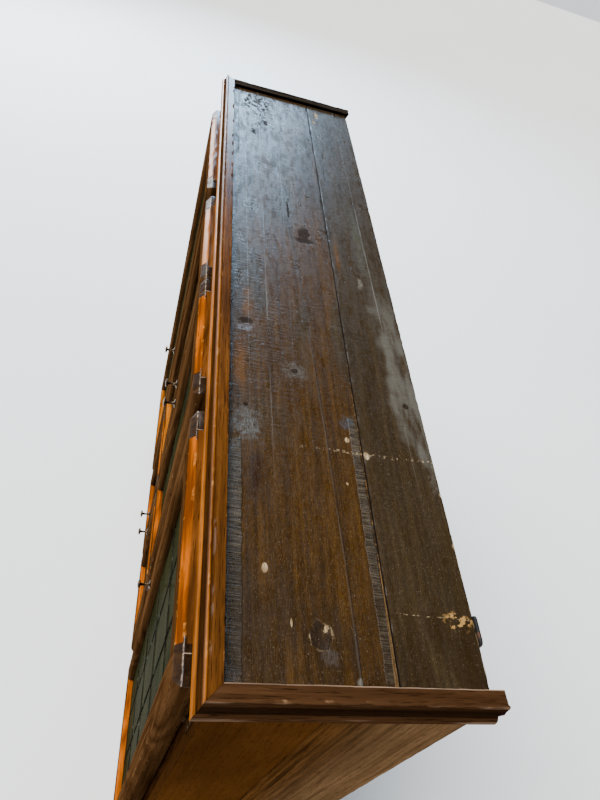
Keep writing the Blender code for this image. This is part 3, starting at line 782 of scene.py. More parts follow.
BARE_CHIPS = [
    ((0.6392, -0.0800), (0.0080, 0.0046), 0.5),
    ((0.4196, 0.0546), (0.0058, 0.0044), 0.5),
    ((0.4448, 0.0825), (0.0085, 0.0050), 1.0),
    ((0.4998, 0.0451), (0.0030, 0.0024), 1.4),
    ((0.7095, -0.0065), (0.0060, 0.0048), 2.2),
    ((0.7066, -0.0494), (0.0065, 0.0018), 0.8),
    ((0.586, 0.1935), (0.0060, 0.0030), 0.6),
    ((0.501, 0.1935), (0.0050, 0.0030), 0.6),
    ((-0.682, 0.0906), (0.0080, 0.0050), 1.8),
    ((-0.726, 0.1009), (0.0200, 0.0050), 2.6),
]
# Lines on the boards, y = a + b x + c x**2, as (a, b, c)
SHAKE = (-0.002, 0.0652, -0.0329)
FINE_LINES = [
    ((-0.0637, 0.001, 0), 0.0012, 0.9),
    ((-0.098, 0.004, 0), 0.0010, 0.6),
    ((0.156, 0.003, 0), 0.0012, 0.9),
    ((-0.020, -0.006, 0), 0.0009, 0.6),
]


def bare_wood(tree, place):
    """Pale straw of the unstained wood, in fine streaks."""
    streaks = noise(tree, stretched(tree, place, (60, 400, 1)), 1.0)
    return tones(tree, streaks, [(0.35, (0.17, 0.10, 0.038)), (0.65, (0.42, 0.33, 0.20))])


def stained(tree, place, spread, flecks):
    """Brown stain by figure and flecks, greyer behind the seam and in clouds towards the left."""
    figure = wire(tree, "Group", {"node_tree": oak_grain}, {"Wood": place}).outputs
    share = {0: 0.10, 2: figure["Streaks"], 3: figure["Figure"]}
    tone = wire(tree, "Mix", {"data_type": "FLOAT"}, share).outputs[0]
    tone = wire(tree, "Mix", {"data_type": "FLOAT"}, {0: 0.52, 2: tone, 3: flecks}).outputs[0]
    warm = [(0.34, (0.014, 0.0062, 0.0010)), (0.50, (0.034, 0.0145, 0.0014)), (0.66, (0.064, 0.029, 0.0036))]
    grey = [(0.34, (0.014, 0.0082, 0.0030)), (0.50, (0.026, 0.0155, 0.0054)), (0.66, (0.042, 0.027, 0.0110))]
    cloud = noise(tree, stretched(tree, place, (4, 16, 1)), 1.0, 5.0)
    away = both(tree, fade(tree, cloud, 0.44, 0.60), fade(tree, spread["X"], 0.55, 0.25))
    faded = joined(tree, fade(tree, spread["Y"], 0.070, 0.082), away)
    return mixed(tree, faded, tones(tree, tone, warm), tones(tree, tone, grey)), cloud


def sawn(tree, place, slant, spread, colour):
    """Saw marks: fine bars across the grain, in the strips that the plane has missed."""
    bars = noise(tree, stretched(tree, slant, (820, 34, 1)), 1.0, 3.0)
    shades = [(0.38, (0.011, 0.0085, 0.0055)), (0.50, (0.036, 0.028, 0.0175)), (0.62, (0.082, 0.066, 0.046))]
    barred = tones(tree, bars, shades)
    strips = joined(tree, *[strip(tree, place, spread, *band) for band in SAWN_STRIPS])
    return mixed(tree, both(tree, strips, 0.85), colour, barred), strips, bars


def bloomed_and_highlit(tree, place, flecks, colour):
    """Orange where the stain is thin, then pale and dark blooms drawn out by the flecks; the bluish pale
    patch near the front edge at x 0.2 is a painted highlight.
    """
    thin = joined(tree, *[patch(tree, place, *stain, 1.4, 0.9) for stain in THIN_STAIN])
    colour = mixed(tree, both(tree, thin, 0.55), colour, (0.110, 0.042, 0.0035))
    for centre, size, tint, strength in BLOOMS_AND_HIGHLIGHT:
        mask = both(tree, patch(tree, place, centre, size, 2.0, 0.8), fade(tree, flecks, 0.30, 0.62))
        colour = mixed(tree, both(tree, mask, strength), colour, tint)
    return colour, thin


def scuffed(tree, place, spread, colour):
    """A long grey scuff on the back board: its inner side is the line y = rise * (x - start)."""
    start, rise, inner, outer = 0.372, 0.46, 0.158, 0.182
    slope = both(tree, sums(tree, "MAXIMUM", reckon(tree, "SUBTRACT", spread["X"], start), 0.0), rise)
    depth = reckon(tree, "SUBTRACT", spread["Y"], slope)
    ragged = reckon(tree, "MULTIPLY_ADD", noise(tree, place, 26.0, 6.0), 0.05, depth)
    scuff = both(tree, fade(tree, ragged, inner, outer), fade(tree, spread["X"], -0.10, 0.22))
    streaky = noise(tree, stretched(tree, place, (16, 60, 1)), 1.0, 5.0)
    scuff = both(tree, scuff, fade(tree, streaky, 0.30, 0.62))
    return mixed(tree, both(tree, scuff, 0.75), colour, (0.092, 0.087, 0.072)), scuff


def marked(tree, place, colour):
    """Dark knots and spots, two crops of mould at the left end, and a brown wedge behind them."""
    marks = joined(tree, *[patch(tree, place, *mark, 0.5) for mark in DARK_MARKS])
    mould = patch(tree, place, (-0.712, -0.066), (0.070, 0.052), 1.0, 0.5)
    grown = noise(tree, stretched(tree, place, (70, 130, 1)), 1.0, 4.0)
    few = patch(tree, place, (-0.600, -0.055), (0.085, 0.045), 1.0, 0.8)
    small = noise(tree, stretched(tree, place, (110, 190, 1)), 1.0, 4.0)
    mould = both(tree, mould, fade(tree, grown, 0.48, 0.56))
    marks = joined(tree, marks, mould, both(tree, few, fade(tree, small, 0.56, 0.62)))
    wedge = patch(tree, place, (-0.722, 0.018), (0.062, 0.013), 1.2, 0.5)
    colour = mixed(tree, both(tree, wedge, 0.8), colour, (0.040, 0.025, 0.011))
    return mixed(tree, both(tree, marks, 0.90), colour, (0.0100, 0.0042, 0.0010)), marks, wedge


def knotted(tree, place, spread, straw, colour):
    """The ringed knot, dark inside a torn pale rim, and older stain round it at the right end."""
    outer = patch(tree, place, (0.7202, -0.0134), (0.0200, 0.0165), 0.5, 0.12)
    inner = patch(tree, place, (0.7206, -0.0139), (0.0185, 0.0149), 0.5, 0.12)
    rim = both(tree, sums(tree, "SUBTRACT", outer, inner), fade(tree, noise(tree, place, 120.0), 0.42, 0.55))
    rings = noise(tree, stretched(tree, place, (90, 260, 1)), 1.0, 4.0)
    core = both(tree, inner, fade(tree, rings, 0.34, 0.50))
    colour = mixed(tree, both(tree, core, 0.8), colour, (0.010, 0.0065, 0.004))
    colour = mixed(tree, both(tree, rim, 0.85), colour, straw)
    patchy = noise(tree, stretched(tree, place, (9, 22, 1)), 1.0, 4.0)
    old = both(tree, fade(tree, spread["X"], 0.56, 0.70), fade(tree, patchy, 0.40, 0.56))
    return mixed(tree, both(tree, old, 0.55), colour, (0.0150, 0.0070, 0.0012))


def shaken(tree, place, spread, cloud, colour):
    """The shake, pale with dust and dark close behind, and finer long lines like it."""
    dusty = on_line(tree, spread, SHAKE, 0.0016, 0.002)
    broken = noise(tree, stretched(tree, place, (9, 60, 1)), 1.0, 4.0)
    dusty = both(tree, dusty, fade(tree, broken, 0.30, 0.60))
    shadow = on_line(tree, spread, (SHAKE[0] + 0.0020, *SHAKE[1:]), 0.0016, 0.002)
    colour = mixed(tree, both(tree, shadow, 0.55), colour, (0.008, 0.004, 0.002))
    colour = mixed(tree, both(tree, dusty, 0.38), colour, (0.070, 0.064, 0.058))
    for line, width, strength in FINE_LINES:
        mask = both(tree, on_line(tree, spread, line, width, 0.002), fade(tree, cloud, 0.38, 0.55))
        mask = both(tree, mask, fade(tree, spread["X"], 0.62, 0.05))
        colour = mixed(tree, both(tree, mask, strength), colour, (0.12, 0.115, 0.105))
    return colour


def bared(tree, place, spread, straw, colour):
    """Bare wood: chips, a dotted scratch across both boards, a frayed back edge, torn places by
    the strap, a splinter gone along the seam, and specks. Gives (colour, bare, torn, cut, dots)."""
    dots = fade(tree, noise(tree, place, 190.0, 4.0), 0.50, 0.60)
    crossing = {"X": spread["Y"], "Y": spread["X"]}
    scratch = both(tree, on_line(tree, crossing, (0.4375, 0.0, 0.0), 0.0034, 0.010), dots)
    scratch = both(tree, scratch, fade(tree, spread["Y"], -0.08, 0.09))
    faint = on_line(tree, crossing, (0.676, 0.06, 0.0), 0.0010, 0.010)
    faint = both(tree, faint, fade(tree, spread["Y"], 0.075, 0.10), dots, 0.5)
    edge = wire(tree, "Attribute", {"attribute_name": "arris"}).outputs["Fac"]
    frayed = both(tree, edge, fade(tree, noise(tree, place, 50.0, 5.0), 0.50, 0.62), 0.5)
    frayed = both(tree, frayed, fade(tree, spread["Y"], 0.10, 0.15))
    chips = [patch(tree, place, *chip, 0.35) for chip in BARE_CHIPS]
    bare = joined(tree, *chips, both(tree, scratch, 0.6), faint, frayed)
    colour = mixed(tree, bare, colour, straw)
    torn = patch(tree, place, (0.694, 0.1720), (0.0150, 0.0230), 1.2, 0.5)
    torn = both(tree, torn, fade(tree, noise(tree, place, 150.0, 3.0), 0.50, 0.58))
    colour = mixed(tree, both(tree, torn, 0.9), colour, (0.36, 0.20, 0.06))
    # the splinter starts here and widens by this much for each metre
    start, widening = 0.60, 0.028
    wider = sums(tree, "MAXIMUM", reckon(tree, "SUBTRACT", spread["X"], start), 0.0)
    cut = reckon(tree, "MULTIPLY_ADD", wider, widening, spread["Y"])
    cut = both(tree, fade(tree, cut, 0.0752, 0.0758), fade(tree, spread["X"], start, start + 0.03))
    cut = both(tree, cut, fade(tree, spread["Y"], 0.0768, 0.0766))
    colour = mixed(tree, both(tree, cut, 0.85), colour, (0.115, 0.066, 0.026))
    specks = fade(tree, noise(tree, place, 560.0, 2.0), 0.665, 0.715)
    return mixed(tree, both(tree, specks, 0.42), colour, (0.20, 0.15, 0.09)), bare, torn, cut, dots


def seamed(tree, spread, dots, colour):
    """The dark seam between the boards, with a thin bare edge in front of it."""
    seam = both(tree, on_line(tree, spread, (0.0768, 0, 0), 0.0020), 0.95)
    bright = on_line(tree, spread, (0.0742, 0, 0), 0.0011, 0.001)
    bright = both(tree, bright, both(tree, dots, fade(tree, spread["X"], 0.15, 0.40)))
    colour = mixed(tree, seam, colour, (0.004, 0.002, 0.001))
    return mixed(tree, both(tree, bright, 0.8), colour, (0.17, 0.09, 0.032)), seam


def rough_top():
    """Stained deal, with each mark laid over the one before. The old varnish is a broken coat,
    gone from whatever is bare, and thinner towards the right end, where it is handled most."""
    look, tree, shader = new_look("rough_top")
    place = wire(tree, "TexCoord").outputs["Object"]
    spread = wire(tree, "SeparateXYZ", None, {0: place}).outputs
    skew = {0: place, "Angle": math.radians(4)}
    slant = wire(tree, "VectorRotate", {"rotation_type": "Z_AXIS"}, skew).outputs[0]
    flecks = noise(tree, stretched(tree, place, (150, 1000, 1)), 1.0, 3.0)
    straw = bare_wood(tree, place)
    colour, cloud = stained(tree, place, spread, flecks)
    colour, strips, bars = sawn(tree, place, slant, spread, colour)
    colour, thin = bloomed_and_highlit(tree, place, flecks, colour)
    colour, scuff = scuffed(tree, place, spread, colour)
    colour, marks, wedge = marked(tree, place, colour)
    colour = knotted(tree, place, spread, straw, colour)
    colour = shaken(tree, place, spread, cloud, colour)
    colour, bare, torn, cut, dots = bared(tree, place, spread, straw, colour)
    colour, seam = seamed(tree, spread, dots, colour)
    tree.links.new(colour, shader.inputs["Base Color"])
    dull = joined(tree, bare, marks, scuff, seam)
    bald = joined(tree, dull, torn, cut, seam, both(tree, joined(tree, thin, wedge), 0.75))
    broken = fade(tree, noise(tree, stretched(tree, place, (34, 110, 1)), 1.0, 6.0), 0.34, 0.60)
    fine = fade(tree, noise(tree, stretched(tree, slant, (190, 120, 1)), 1.0, 5.0), 0.38, 0.62)
    handled = ranged(tree, spread["X"], 0.54, 0.30, 0.0, 0.60)
    coat = both(tree, sums(tree, "SUBTRACT", 0.95, bald), broken, ranged(tree, fine, 0.62, 1.30), handled)
    tree.links.new(coat, shader.inputs["Coat Weight"])
    shader.inputs["Coat Roughness"].default_value = 0.34
    worn = noise(tree, stretched(tree, place, (16, 60, 1)), 1.0, 6.0)
    rough = {0: dull, 2: ranged(tree, worn, 0.22, 0.45, 0.32, 0.68), 3: 0.75}
    tree.links.new(wire(tree, "Mix", {"data_type": "FLOAT"}, rough).outputs[0], shader.inputs["Roughness"])
    shader.inputs["Specular IOR Level"].default_value = 0.10
    chatter = noise(tree, stretched(tree, slant, (230, 14, 1)), 1.0, 2.0)
    pits = noise(tree, stretched(tree, slant, (260, 90, 1)), 1.0, 4.0)
    height = sums(tree, "ADD", both(tree, flecks, 0.18), both(tree, strips, bars, 0.6))
    height = sums(tree, "ADD", height, both(tree, chatter, 0.26))
    height = sums(tree, "ADD", height, both(tree, pits, 0.38))
    height = sums(tree, "SUBTRACT", height, both(tree, joined(tree, bare, marks), 0.25))
    relief(tree, shader, height, 0.0030, 0.9)
    return look


top_look = rough_top()


SHAKE_REACH, SHAKE_DEPTH = 0.0040, 0.0003
DISH, DISH_SIZE, DISH_DEPTH = (0.719, -0.015), (0.020, 0.016), 0.0012
SWELL, SINK = 0.0004, 0.0004


def shake(skin):
    """Opens the long shake, a V groove along the line y = a + b x + c x**2, sinks the ringed knot
    in a bell-shaped dish, and swells the boards a little. Only their upper faces are changed."""
    x, y, z = skin[..., 0], skin[..., 1], skin[..., 2]
    line = SHAKE[0] + SHAKE[1] * x + SHAKE[2] * x**2
    groove = np.clip(1 - np.abs(y - line) / SHAKE_REACH, 0, 1) * SHAKE_DEPTH
    away = ((x - DISH[0]) / DISH_SIZE[0]) ** 2 + ((y - DISH[1]) / DISH_SIZE[1]) ** 2
    dish = np.exp(-away) * DISH_DEPTH
    swell = SWELL * mottle(x, y, 0.12, 7)
    upper = z > board_high.z - 0.004
    skin[..., 2] = np.where(upper, np.minimum(z - groove - dish + swell - SINK, board_high.z), z)
    return skin


for node, seed in (("top_board_front", 140), ("top_board_back", 146)):
    low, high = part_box(node)
    width, depth = high.y - low.y, high.z - low.z
    front_soft, back_soft = (0.0018, 0.0006) if "front" in node else (0.0006, 0.0018)
    corners = [(0, 0, 0.0008), (width, 0, 0.0008), (width, depth, back_soft), (0, depth, front_soft)]
    ring = softened(corners, 0.004)
    skin, *rest = carried(ring, low, (0, 1, 0), (0, 0, 1), 0, high.x - low.x, 0.005, seed, 0.0004, 0.0014)
    piece("rough_" + node, [(shake(skin), *rest)], top_look, "carcass", "rough_top", node)

# ---------------------------------------------------------------------------------------------
# The doors: oak stiles run the full height, and the rails are tenoned between them. A wide flat
# bevel runs round the outside of the frame, and an ovolo round the glass.

MEMBER, BEVEL, OVOLO, REBATE = 0.059, 0.010, 0.008, 0.009  # widths across a stile or rail
RECESS = 0.0136  # from the face back to the rebate
SHOULDER, BACK_SHOULDER = 0.0512, 0.0392  # where a rail meets the stile, on the bevel and behind it
DOOR_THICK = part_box("left_door_frame")[1].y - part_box("left_door_frame")[0].y
doors = {
    name[: -len("_frame")]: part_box(name)
    for name in sorted(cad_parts)
    if name.endswith("_door_frame")
}


def stile_dirt(tree, section):
    """The end grain of a stile, on its flat end and on the bevel over it, has gone nearly black."""
    sunk = reckon(tree, "MAXIMUM", reckon(tree, "SUBTRACT", section["Y"], DOOR_THICK - BEVEL), 0.0)
    depth = reckon(tree, "SUBTRACT", section["Z"], sunk)
    return both(tree, fade(tree, depth, 0.0012, 0.0004), 0.80)


def fold_highlight_mask(tree, section):
    """A pale line along the fold between a stile's end and the bevel, painted highlight with some wear, and a
    tick on the end at the tenon.
    """
    fold = apart(tree, section["Y"], DOOR_THICK - BEVEL)
    fold = both(tree, fade(tree, fold, 0.0011, 0.0003), fade(tree, section["Z"], 0.0020, 0.0010))
    spots = wire(tree, "CombineXYZ", None, {0: section["X"], 1: section["Y"], 2: section["Z"]}).outputs[0]
    fold = both(tree, fold, fade(tree, noise(tree, spots, 140.0, 3.0), 0.34, 0.60))
    tick = apart(tree, section["X"], BACK_SHOULDER - 0.0012)
    tick = both(tree, fade(tree, tick, 0.0009, 0.0003), fade(tree, section["Z"], 0.0010, 0.0003))
    tick = both(tree, tick, fade(tree, section["Y"], 0.010, 0.014))
    return joined(tree, fold, tick)


def end_polish(tree, section):
    """Varnish on the end grain of a stile."""
    return both(tree, stile_dirt(tree, section), 0.6)


def bevel_polish(tree, section):
    """Varnish lies thick on the bevel."""
    return both(tree, fade(tree, section["X"], BEVEL + 0.001, BEVEL - 0.001), 0.42)


def bevel_highlight_mask(tree, section):
    """The upper edge and the bevel of a rail, and its ovolo, painted a lighter orange: painted highlight
    where these faces turn up to the light.
    """
    outer = fade(tree, section["X"], BEVEL + 0.0006, BEVEL - 0.0006)
    fold = DOOR_THICK - BEVEL
    bevel = both(tree, outer, fade(tree, section["Y"], fold - 0.0030, fold + 0.0004))
    inner = fade(tree, section["X"], MEMBER - OVOLO - 0.0004, MEMBER - OVOLO + 0.0010)
    outer = sums(tree, "ADD", both(tree, outer, 0.22), both(tree, bevel, 0.78))
    return joined(tree, outer, inner)


# A rail's lighter orange bevel, edge and ovolo, and its pale worn arrises, are painted highlight.
rail_oak = oak(
    "rail_oak", (0.024, 0.010, 0.0032), (0.056, 0.024, 0.0075), (0.100, 0.046, 0.016), (0.34, 0.17, 0.05),
    0.33, 0.5, 0.0, 0.6, None, bevel_polish, (bevel_highlight_mask, (0.40, 0.118, 0.006)),
)
dull_rail_oak = oak(
    "dull_rail_oak", (0.024, 0.010, 0.0032), (0.056, 0.024, 0.0075), (0.100, 0.046, 0.016),
    (0.56, 0.22, 0.05), 0.40, 0.8, 0.0, 0.6, None, None, (bevel_highlight_mask, (0.38, 0.088, 0.0034)),
)
# A stile's pale fold line and its pale worn arrises are painted highlight.
stile_oak = oak(
    "stile_oak", (0.028, 0.0115, 0.0036), (0.060, 0.0275, 0.0098), (0.105, 0.051, 0.020), (0.16, 0.09, 0.04),
    0.36, 0.6, 0.0, 0.6, stile_dirt, end_polish, (fold_highlight_mask, (0.36, 0.26, 0.18)),
)


def member_ring(thick, spacing):
    """Section of a stile or rail as (from the outer edge, from the back of the door)."""
    turn = np.radians(np.linspace(0, 90, 6))
    centre = (MEMBER - OVOLO, thick - OVOLO - 0.0008)
    round_over = [(centre[0] + OVOLO * math.cos(t), centre[1] + OVOLO * math.sin(t), 0) for t in turn]
    back_rebate = thick - RECESS - 0.0005
    return softened(
        [
            (0, 0, 0.001), (MEMBER - REBATE, 0, 0.001), (MEMBER - REBATE, back_rebate, 0),
            (MEMBER, back_rebate, 0.0005), *round_over, (MEMBER - OVOLO, thick, 0.0006),
            (BEVEL, thick, 0.0022), (0, thick - BEVEL, 0.0022),
        ],
        spacing,
    )


for number, (door, (low, high)) in enumerate(doors.items()):
    thick = high.y - low.y
    ring = member_ring(thick, 0.008)
    depth = ring[0][:, 1]
    slope = np.clip(depth - (thick - BEVEL), 0, None)
    shoulder = np.where(depth > thick - BEVEL - 0.002, SHOULDER, BACK_SHOULDER)
    wide, tall = high.x - low.x, high.z - low.z
    seed = 200 + 10 * number
    toward = (0, -1, 0)
    drop = 0.00015
    left = carried(
        ring, (low.x, high.y, high.z), (1, 0, 0), toward, drop, tall - drop, 0.02, seed,
        end=0.0004, slope=slope,
    )
    right = carried(
        ring, (high.x, high.y, low.z), (-1, 0, 0), toward, drop, tall - drop, 0.02, seed + 2,
        end=0.0004, slope=slope,
    )
    reach = wide - shoulder
    top, foot = (high.x, high.y, high.z), (low.x, high.y, low.z)
    upper = carried(ring, top, (0, 0, -1), toward, shoulder, reach, 0.01, seed + 4, end=0.0001)
    lower = carried(ring, foot, (0, 0, 1), toward, shoulder, reach, 0.01, seed + 6, end=0.0001)
    piece(door + "_left_stile", [left], stile_oak, door, "oak", door + "_frame")
    piece(door + "_right_stile", [right], stile_oak, door, "oak")
    # the doors to the right are used more, and their varnish is duller
    look = rail_oak if door in ("left_door", "upper_left_door") else dull_rail_oak
    piece(door + "_top_rail", [upper], look, door, "oak")
    piece(door + "_bottom_rail", [lower], look, door, "oak")

# ---------------------------------------------------------------------------------------------
# The leaded lights: oblong quarries of thick greenish glass, none of them quite flat, in lead
# cames soldered where they cross. Thin oak beads hold each light in the rebate from behind.


def quarry_glass():
    """Old greenish glass, half clear, a little uneven in tint, its surface gently wavy."""
    look, tree, shader = new_look("quarry_glass")
    place = wire(tree, "TexCoord").outputs["Object"]
    shades = [(0.3, (0.016, 0.0175, 0.0065)), (0.7, (0.034, 0.034, 0.0135))]
    tint = tones(tree, noise(tree, place, 9.0, 3.0), shades)
    tree.links.new(tint, shader.inputs["Base Color"])
    shader.inputs["Roughness"].default_value = 0.15
    shader.inputs["Transmission Weight"].default_value = 0.35
    shader.inputs["Specular IOR Level"].default_value = 0.0
    shader.inputs["IOR"].default_value = 1.005
    ripple = noise(tree, stretched(tree, place, (22, 22, 9)), 1.0, 3.0)
    relief(tree, shader, ripple, 0.0012, 0.5)
    return look


def old_lead():
    """Lead came, dulled to grey, brighter where it is rubbed, with whitish bloom in places."""
    look, tree, shader = new_look("old_lead")
    place = wire(tree, "TexCoord").outputs["Object"]
    bloom = noise(tree, place, 55.0, 5.0)
    shades = [(0.38, (0.004, 0.004, 0.004)), (0.60, (0.011, 0.011, 0.010)), (0.80, (0.12, 0.115, 0.10))]
    tree.links.new(tones(tree, bloom, shades), shader.inputs["Base Color"])
    tree.links.new(fade(tree, bloom, 0.60, 0.80), shader.inputs["Metallic"])
    shader.inputs["Specular IOR Level"].default_value = 0.0
    tree.links.new(ranged(tree, bloom, 0.70, 0.40), shader.inputs["Roughness"])
    relief(tree, shader, noise(tree, place, 260.0, 3.0), 0.0004, 0.5)
    return look


glass_look, lead_look = quarry_glass(), old_lead()
QUARRY_WIDTH, QUARRY_HEIGHT, GLASS, CAME_WIDTH, CAME_DEPTH = 0.100, 0.200, 0.0022, 0.0062, 0.0052
COVER = 0.003  # how far the glass runs in behind the ovolo
PANE_GAP, CAME_END, SOLDER = 0.0006, 0.002, (0.0052, 0.0036, 0.0052)


def oval_ring(wide, deep, count):
    """An ellipse, anticlockwise, with its outward normals."""
    turn = np.linspace(0, 2 * math.pi, count, endpoint=False)
    points = np.stack([wide / 2 * np.cos(turn), deep / 2 * np.sin(turn)], 1)
    return points, np.stack([np.cos(turn), np.sin(turn)], 1), np.zeros(count)


def blob(centre, radii, count=10):
    """A closed ball with three radii: rings of latitude from pole to pole."""
    up = np.radians(np.linspace(-85, 85, count))
    turn = np.linspace(0, 2 * math.pi, 12, endpoint=False)
    up, turn = np.meshgrid(up, turn, indexing="ij")
    ball = np.stack([np.cos(up) * np.cos(turn), np.cos(up) * np.sin(turn), np.sin(up)], -1)
    return np.array(centre) + ball * np.array(radii), ball, ball, np.zeros(up.shape)


for number, (door, (low, high)) in enumerate(doors.items()):
    pane_low, pane_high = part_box(door + "_light")
    x0, x1 = low.x + MEMBER - COVER, high.x - MEMBER + COVER
    z0, z1 = low.z + MEMBER - COVER, high.z - MEMBER + COVER
    columns = round((x1 - x0) / QUARRY_WIDTH)
    rows = round((z1 - z0) / QUARRY_HEIGHT)
    xs, zs = np.linspace(x0, x1, columns + 1), np.linspace(z0, z1, rows + 1)
    middle = (pane_low.y + pane_high.y) / 2
    random = np.random.default_rng(300 + number)
    panes = []
    for column in range(columns):
        for row in range(rows):
            left, back, foot = xs[column] + PANE_GAP, middle + GLASS / 2, zs[row] + PANE_GAP
            width = xs[column + 1] - xs[column] - 2 * PANE_GAP
            tall = zs[row + 1] - zs[row] - 2 * PANE_GAP
            section = [(0, 0, 0.0004), (width, 0, 0.0004), (width, GLASS, 0.0004), (0, GLASS, 0.0004)]
            ring, corner = softened(section, 0.012), (left + width, back, foot)
            skin, *rest = carried(ring, corner, (-1, 0, 0), (0, -1, 0), 0, tall, 0.02, 0, 0, 0, 0.0003)
            tilt = random.uniform(-0.007, 0.007, 2)
            skin[..., 1] += tilt[0] * (skin[..., 0] - left - width / 2)
            skin[..., 1] += tilt[1] * (skin[..., 2] - foot - tall / 2)
            panes.append((skin, *rest))
    piece(door + "_quarries", panes, glass_look, door, "leaded_glass", door + "_light")
    cames = []
    ring = oval_ring(CAME_WIDTH, CAME_DEPTH, 12)
    for x in xs:
        foot, run, seed = (x, middle, z0 - CAME_END), z1 - z0 + 2 * CAME_END, 320 + len(cames)
        cames.append(carried(ring, foot, (1, 0, 0), (0, 1, 0), 0, run, 0.012, seed, 0.0003, 0, 0.001))
    for z in zs:
        foot, run, seed = (x0 - CAME_END, middle, z), x1 - x0 + 2 * CAME_END, 320 + len(cames)
        cames.append(carried(ring, foot, (0, 0, 1), (0, -1, 0), 0, run, 0.012, seed, 0.0003, 0, 0.001))
    for x in xs[1:-1]:
        for z in zs[1:-1]:
            cames.append(blob((x, middle, z), SOLDER))
    piece(door + "_cames", cames, lead_look, door, "leaded_glass")
    back = pane_high.y + 0.0008
    section = [(0, 0, 0.0005), (0.008, 0, 0.0005), (0.008, 0.004, 0.003), (0.003, 0.009, 0.003)]
    bead = softened([*section, (0, 0.009, 0.0005)], 0.01)
    reach = MEMBER - REBATE
    x0, x1, z0, z1 = low.x + reach, high.x - reach, low.z + reach, high.z - reach
    across, upright = high.x - low.x - 2 * reach, high.z - low.z - 2 * reach
    strips = [
        carried(bead, (x0, back, z0), (1, 0, 0), (0, 1, 0), 0, upright, 0.03, 340, end=0.0003),
        carried(bead, (x1, back, z1), (-1, 0, 0), (0, 1, 0), 0, upright, 0.03, 342, end=0.0003),
        carried(bead, (x1, back, z0), (0, 0, 1), (0, 1, 0), 0, across, 0.03, 344, end=0.0003),
        carried(bead, (x0, back, z1), (0, 0, -1), (0, 1, 0), 0, across, 0.03, 346, end=0.0003),
    ]
    piece(door + "_glazing_beads", strips, inner_oak, door, "oak")

# ---------------------------------------------------------------------------------------------
# The knobs: turned brass, a flat mushroom head on a thin stem with a small rose, browned by
# handling, on the free stile of every door.


def old_brass():
    """Brass, brown in the hollows of its tarnish and yellow where fingers rub it."""
    look, tree, shader = new_look("old_brass")
    place = wire(tree, "TexCoord").outputs["Object"]
    tarnish = noise(tree, place, 130.0, 5.0)
    shades = [(0.35, (0.025, 0.014, 0.007)), (0.55, (0.075, 0.045, 0.020)), (0.75, (0.30, 0.20, 0.09))]
    tree.links.new(tones(tree, tarnish, shades), shader.inputs["Base Color"])
    shader.inputs["Metallic"].default_value = 1.0
    tree.links.new(ranged(tree, tarnish, 0.48, 0.18), shader.inputs["Roughness"])
    relief(tree, shader, noise(tree, place, 500.0, 3.0), 0.0001, 0.5)
    return look


brass_look = old_brass()


def turned(centre, axis, profile, around=32):
    """A turned shape: each (radius, height) of the profile, from foot to tip, is swept round the axis."""
    axis = np.array(axis, float)
    side = np.array((1.0, 0, 0)) if abs(axis[0]) < 0.5 else np.array((0, 0, 1.0))
    other = np.cross(axis, side)
    profile = np.array(profile, float)
    turn = np.linspace(0, 2 * math.pi, around, endpoint=False)
    circle = np.cos(turn)[:, None] * side + np.sin(turn)[:, None] * other
    skin = np.array(centre) + profile[:, None, :1] * circle + profile[:, 1][:, None, None] * axis
    return skin, np.zeros(skin.shape), np.zeros(skin.shape), np.zeros(skin.shape[:2])


def knob_profile(length):
    """Rose, waisted stem and mushroom head. The stem thins by half a sine wave, and the head is
    most of a half ellipse."""
    rose = [(0.0098, 0.0), (0.0100, 0.0010), (0.0092, 0.0019), (0.0060, 0.0024), (0.0042, 0.0034)]
    rise = np.linspace(0, 1, 9)
    stem = [(0.0034 - 0.0007 * math.sin(math.pi * t), 0.0042 + (length - 0.0122) * t) for t in rise]
    turn = np.radians(np.linspace(-70, 88, 14))
    head = [(0.0103 * math.cos(t), length - 0.0036 + 0.0036 * math.sin(t)) for t in turn]
    return rose + stem + head


for door in doors:
    low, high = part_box(door + "_knob")
    centre = ((low.x + high.x) / 2, high.y, (low.z + high.z) / 2)
    knob = turned(centre, (0, -1, 0), knob_profile(high.y - low.y))
    piece(door + "_turned_knob", [knob], brass_look, door, "brass", door + "_knob")

# ---------------------------------------------------------------------------------------------
# The hinges: brass butts. The barrel stands beside the edge of the door, in five knuckles with
# a pin through them. One leaf is screwed behind the door and the other on the face of the case.


def brown_brass():
    """Brass, dark brown nearly all over, showing yellow only in specks."""
    look, tree, shader = new_look("brown_brass")
    place = wire(tree, "TexCoord").outputs["Object"]
    tarnish = noise(tree, place, 160.0, 5.0)
    shades = [(0.40, (0.012, 0.006, 0.003)), (0.62, (0.035, 0.018, 0.007)), (0.78, (0.16, 0.10, 0.04))]
    tree.links.new(tones(tree, tarnish, shades), shader.inputs["Base Color"])
    tree.links.new(fade(tree, tarnish, 0.60, 0.80), shader.inputs["Metallic"])
    shader.inputs["Specular IOR Level"].default_value = 0.0
    tree.links.new(ranged(tree, tarnish, 0.70, 0.45), shader.inputs["Roughness"])
    relief(tree, shader, noise(tree, place, 500.0, 3.0), 0.0001, 0.5)
    return look


hinge_look = brown_brass()


def barrel_profile(radius, length, knuckles=5):
    """Knuckles with a fine groove between two of them, and a small dome at each end."""
    knuckle = length / knuckles
    points = [(radius * 0.35, 0.0), (radius * 0.85, 0.0006)]
    for number in range(knuckles):
        bottom = number * knuckle
        points += [(radius * 0.88, bottom + 0.0008), (radius, bottom + 0.0013)]
        points += [(radius, bottom + knuckle - 0.0013), (radius * 0.88, bottom + knuckle - 0.0008)]
    return points + [(radius * 0.85, length - 0.0006), (radius * 0.35, length)]


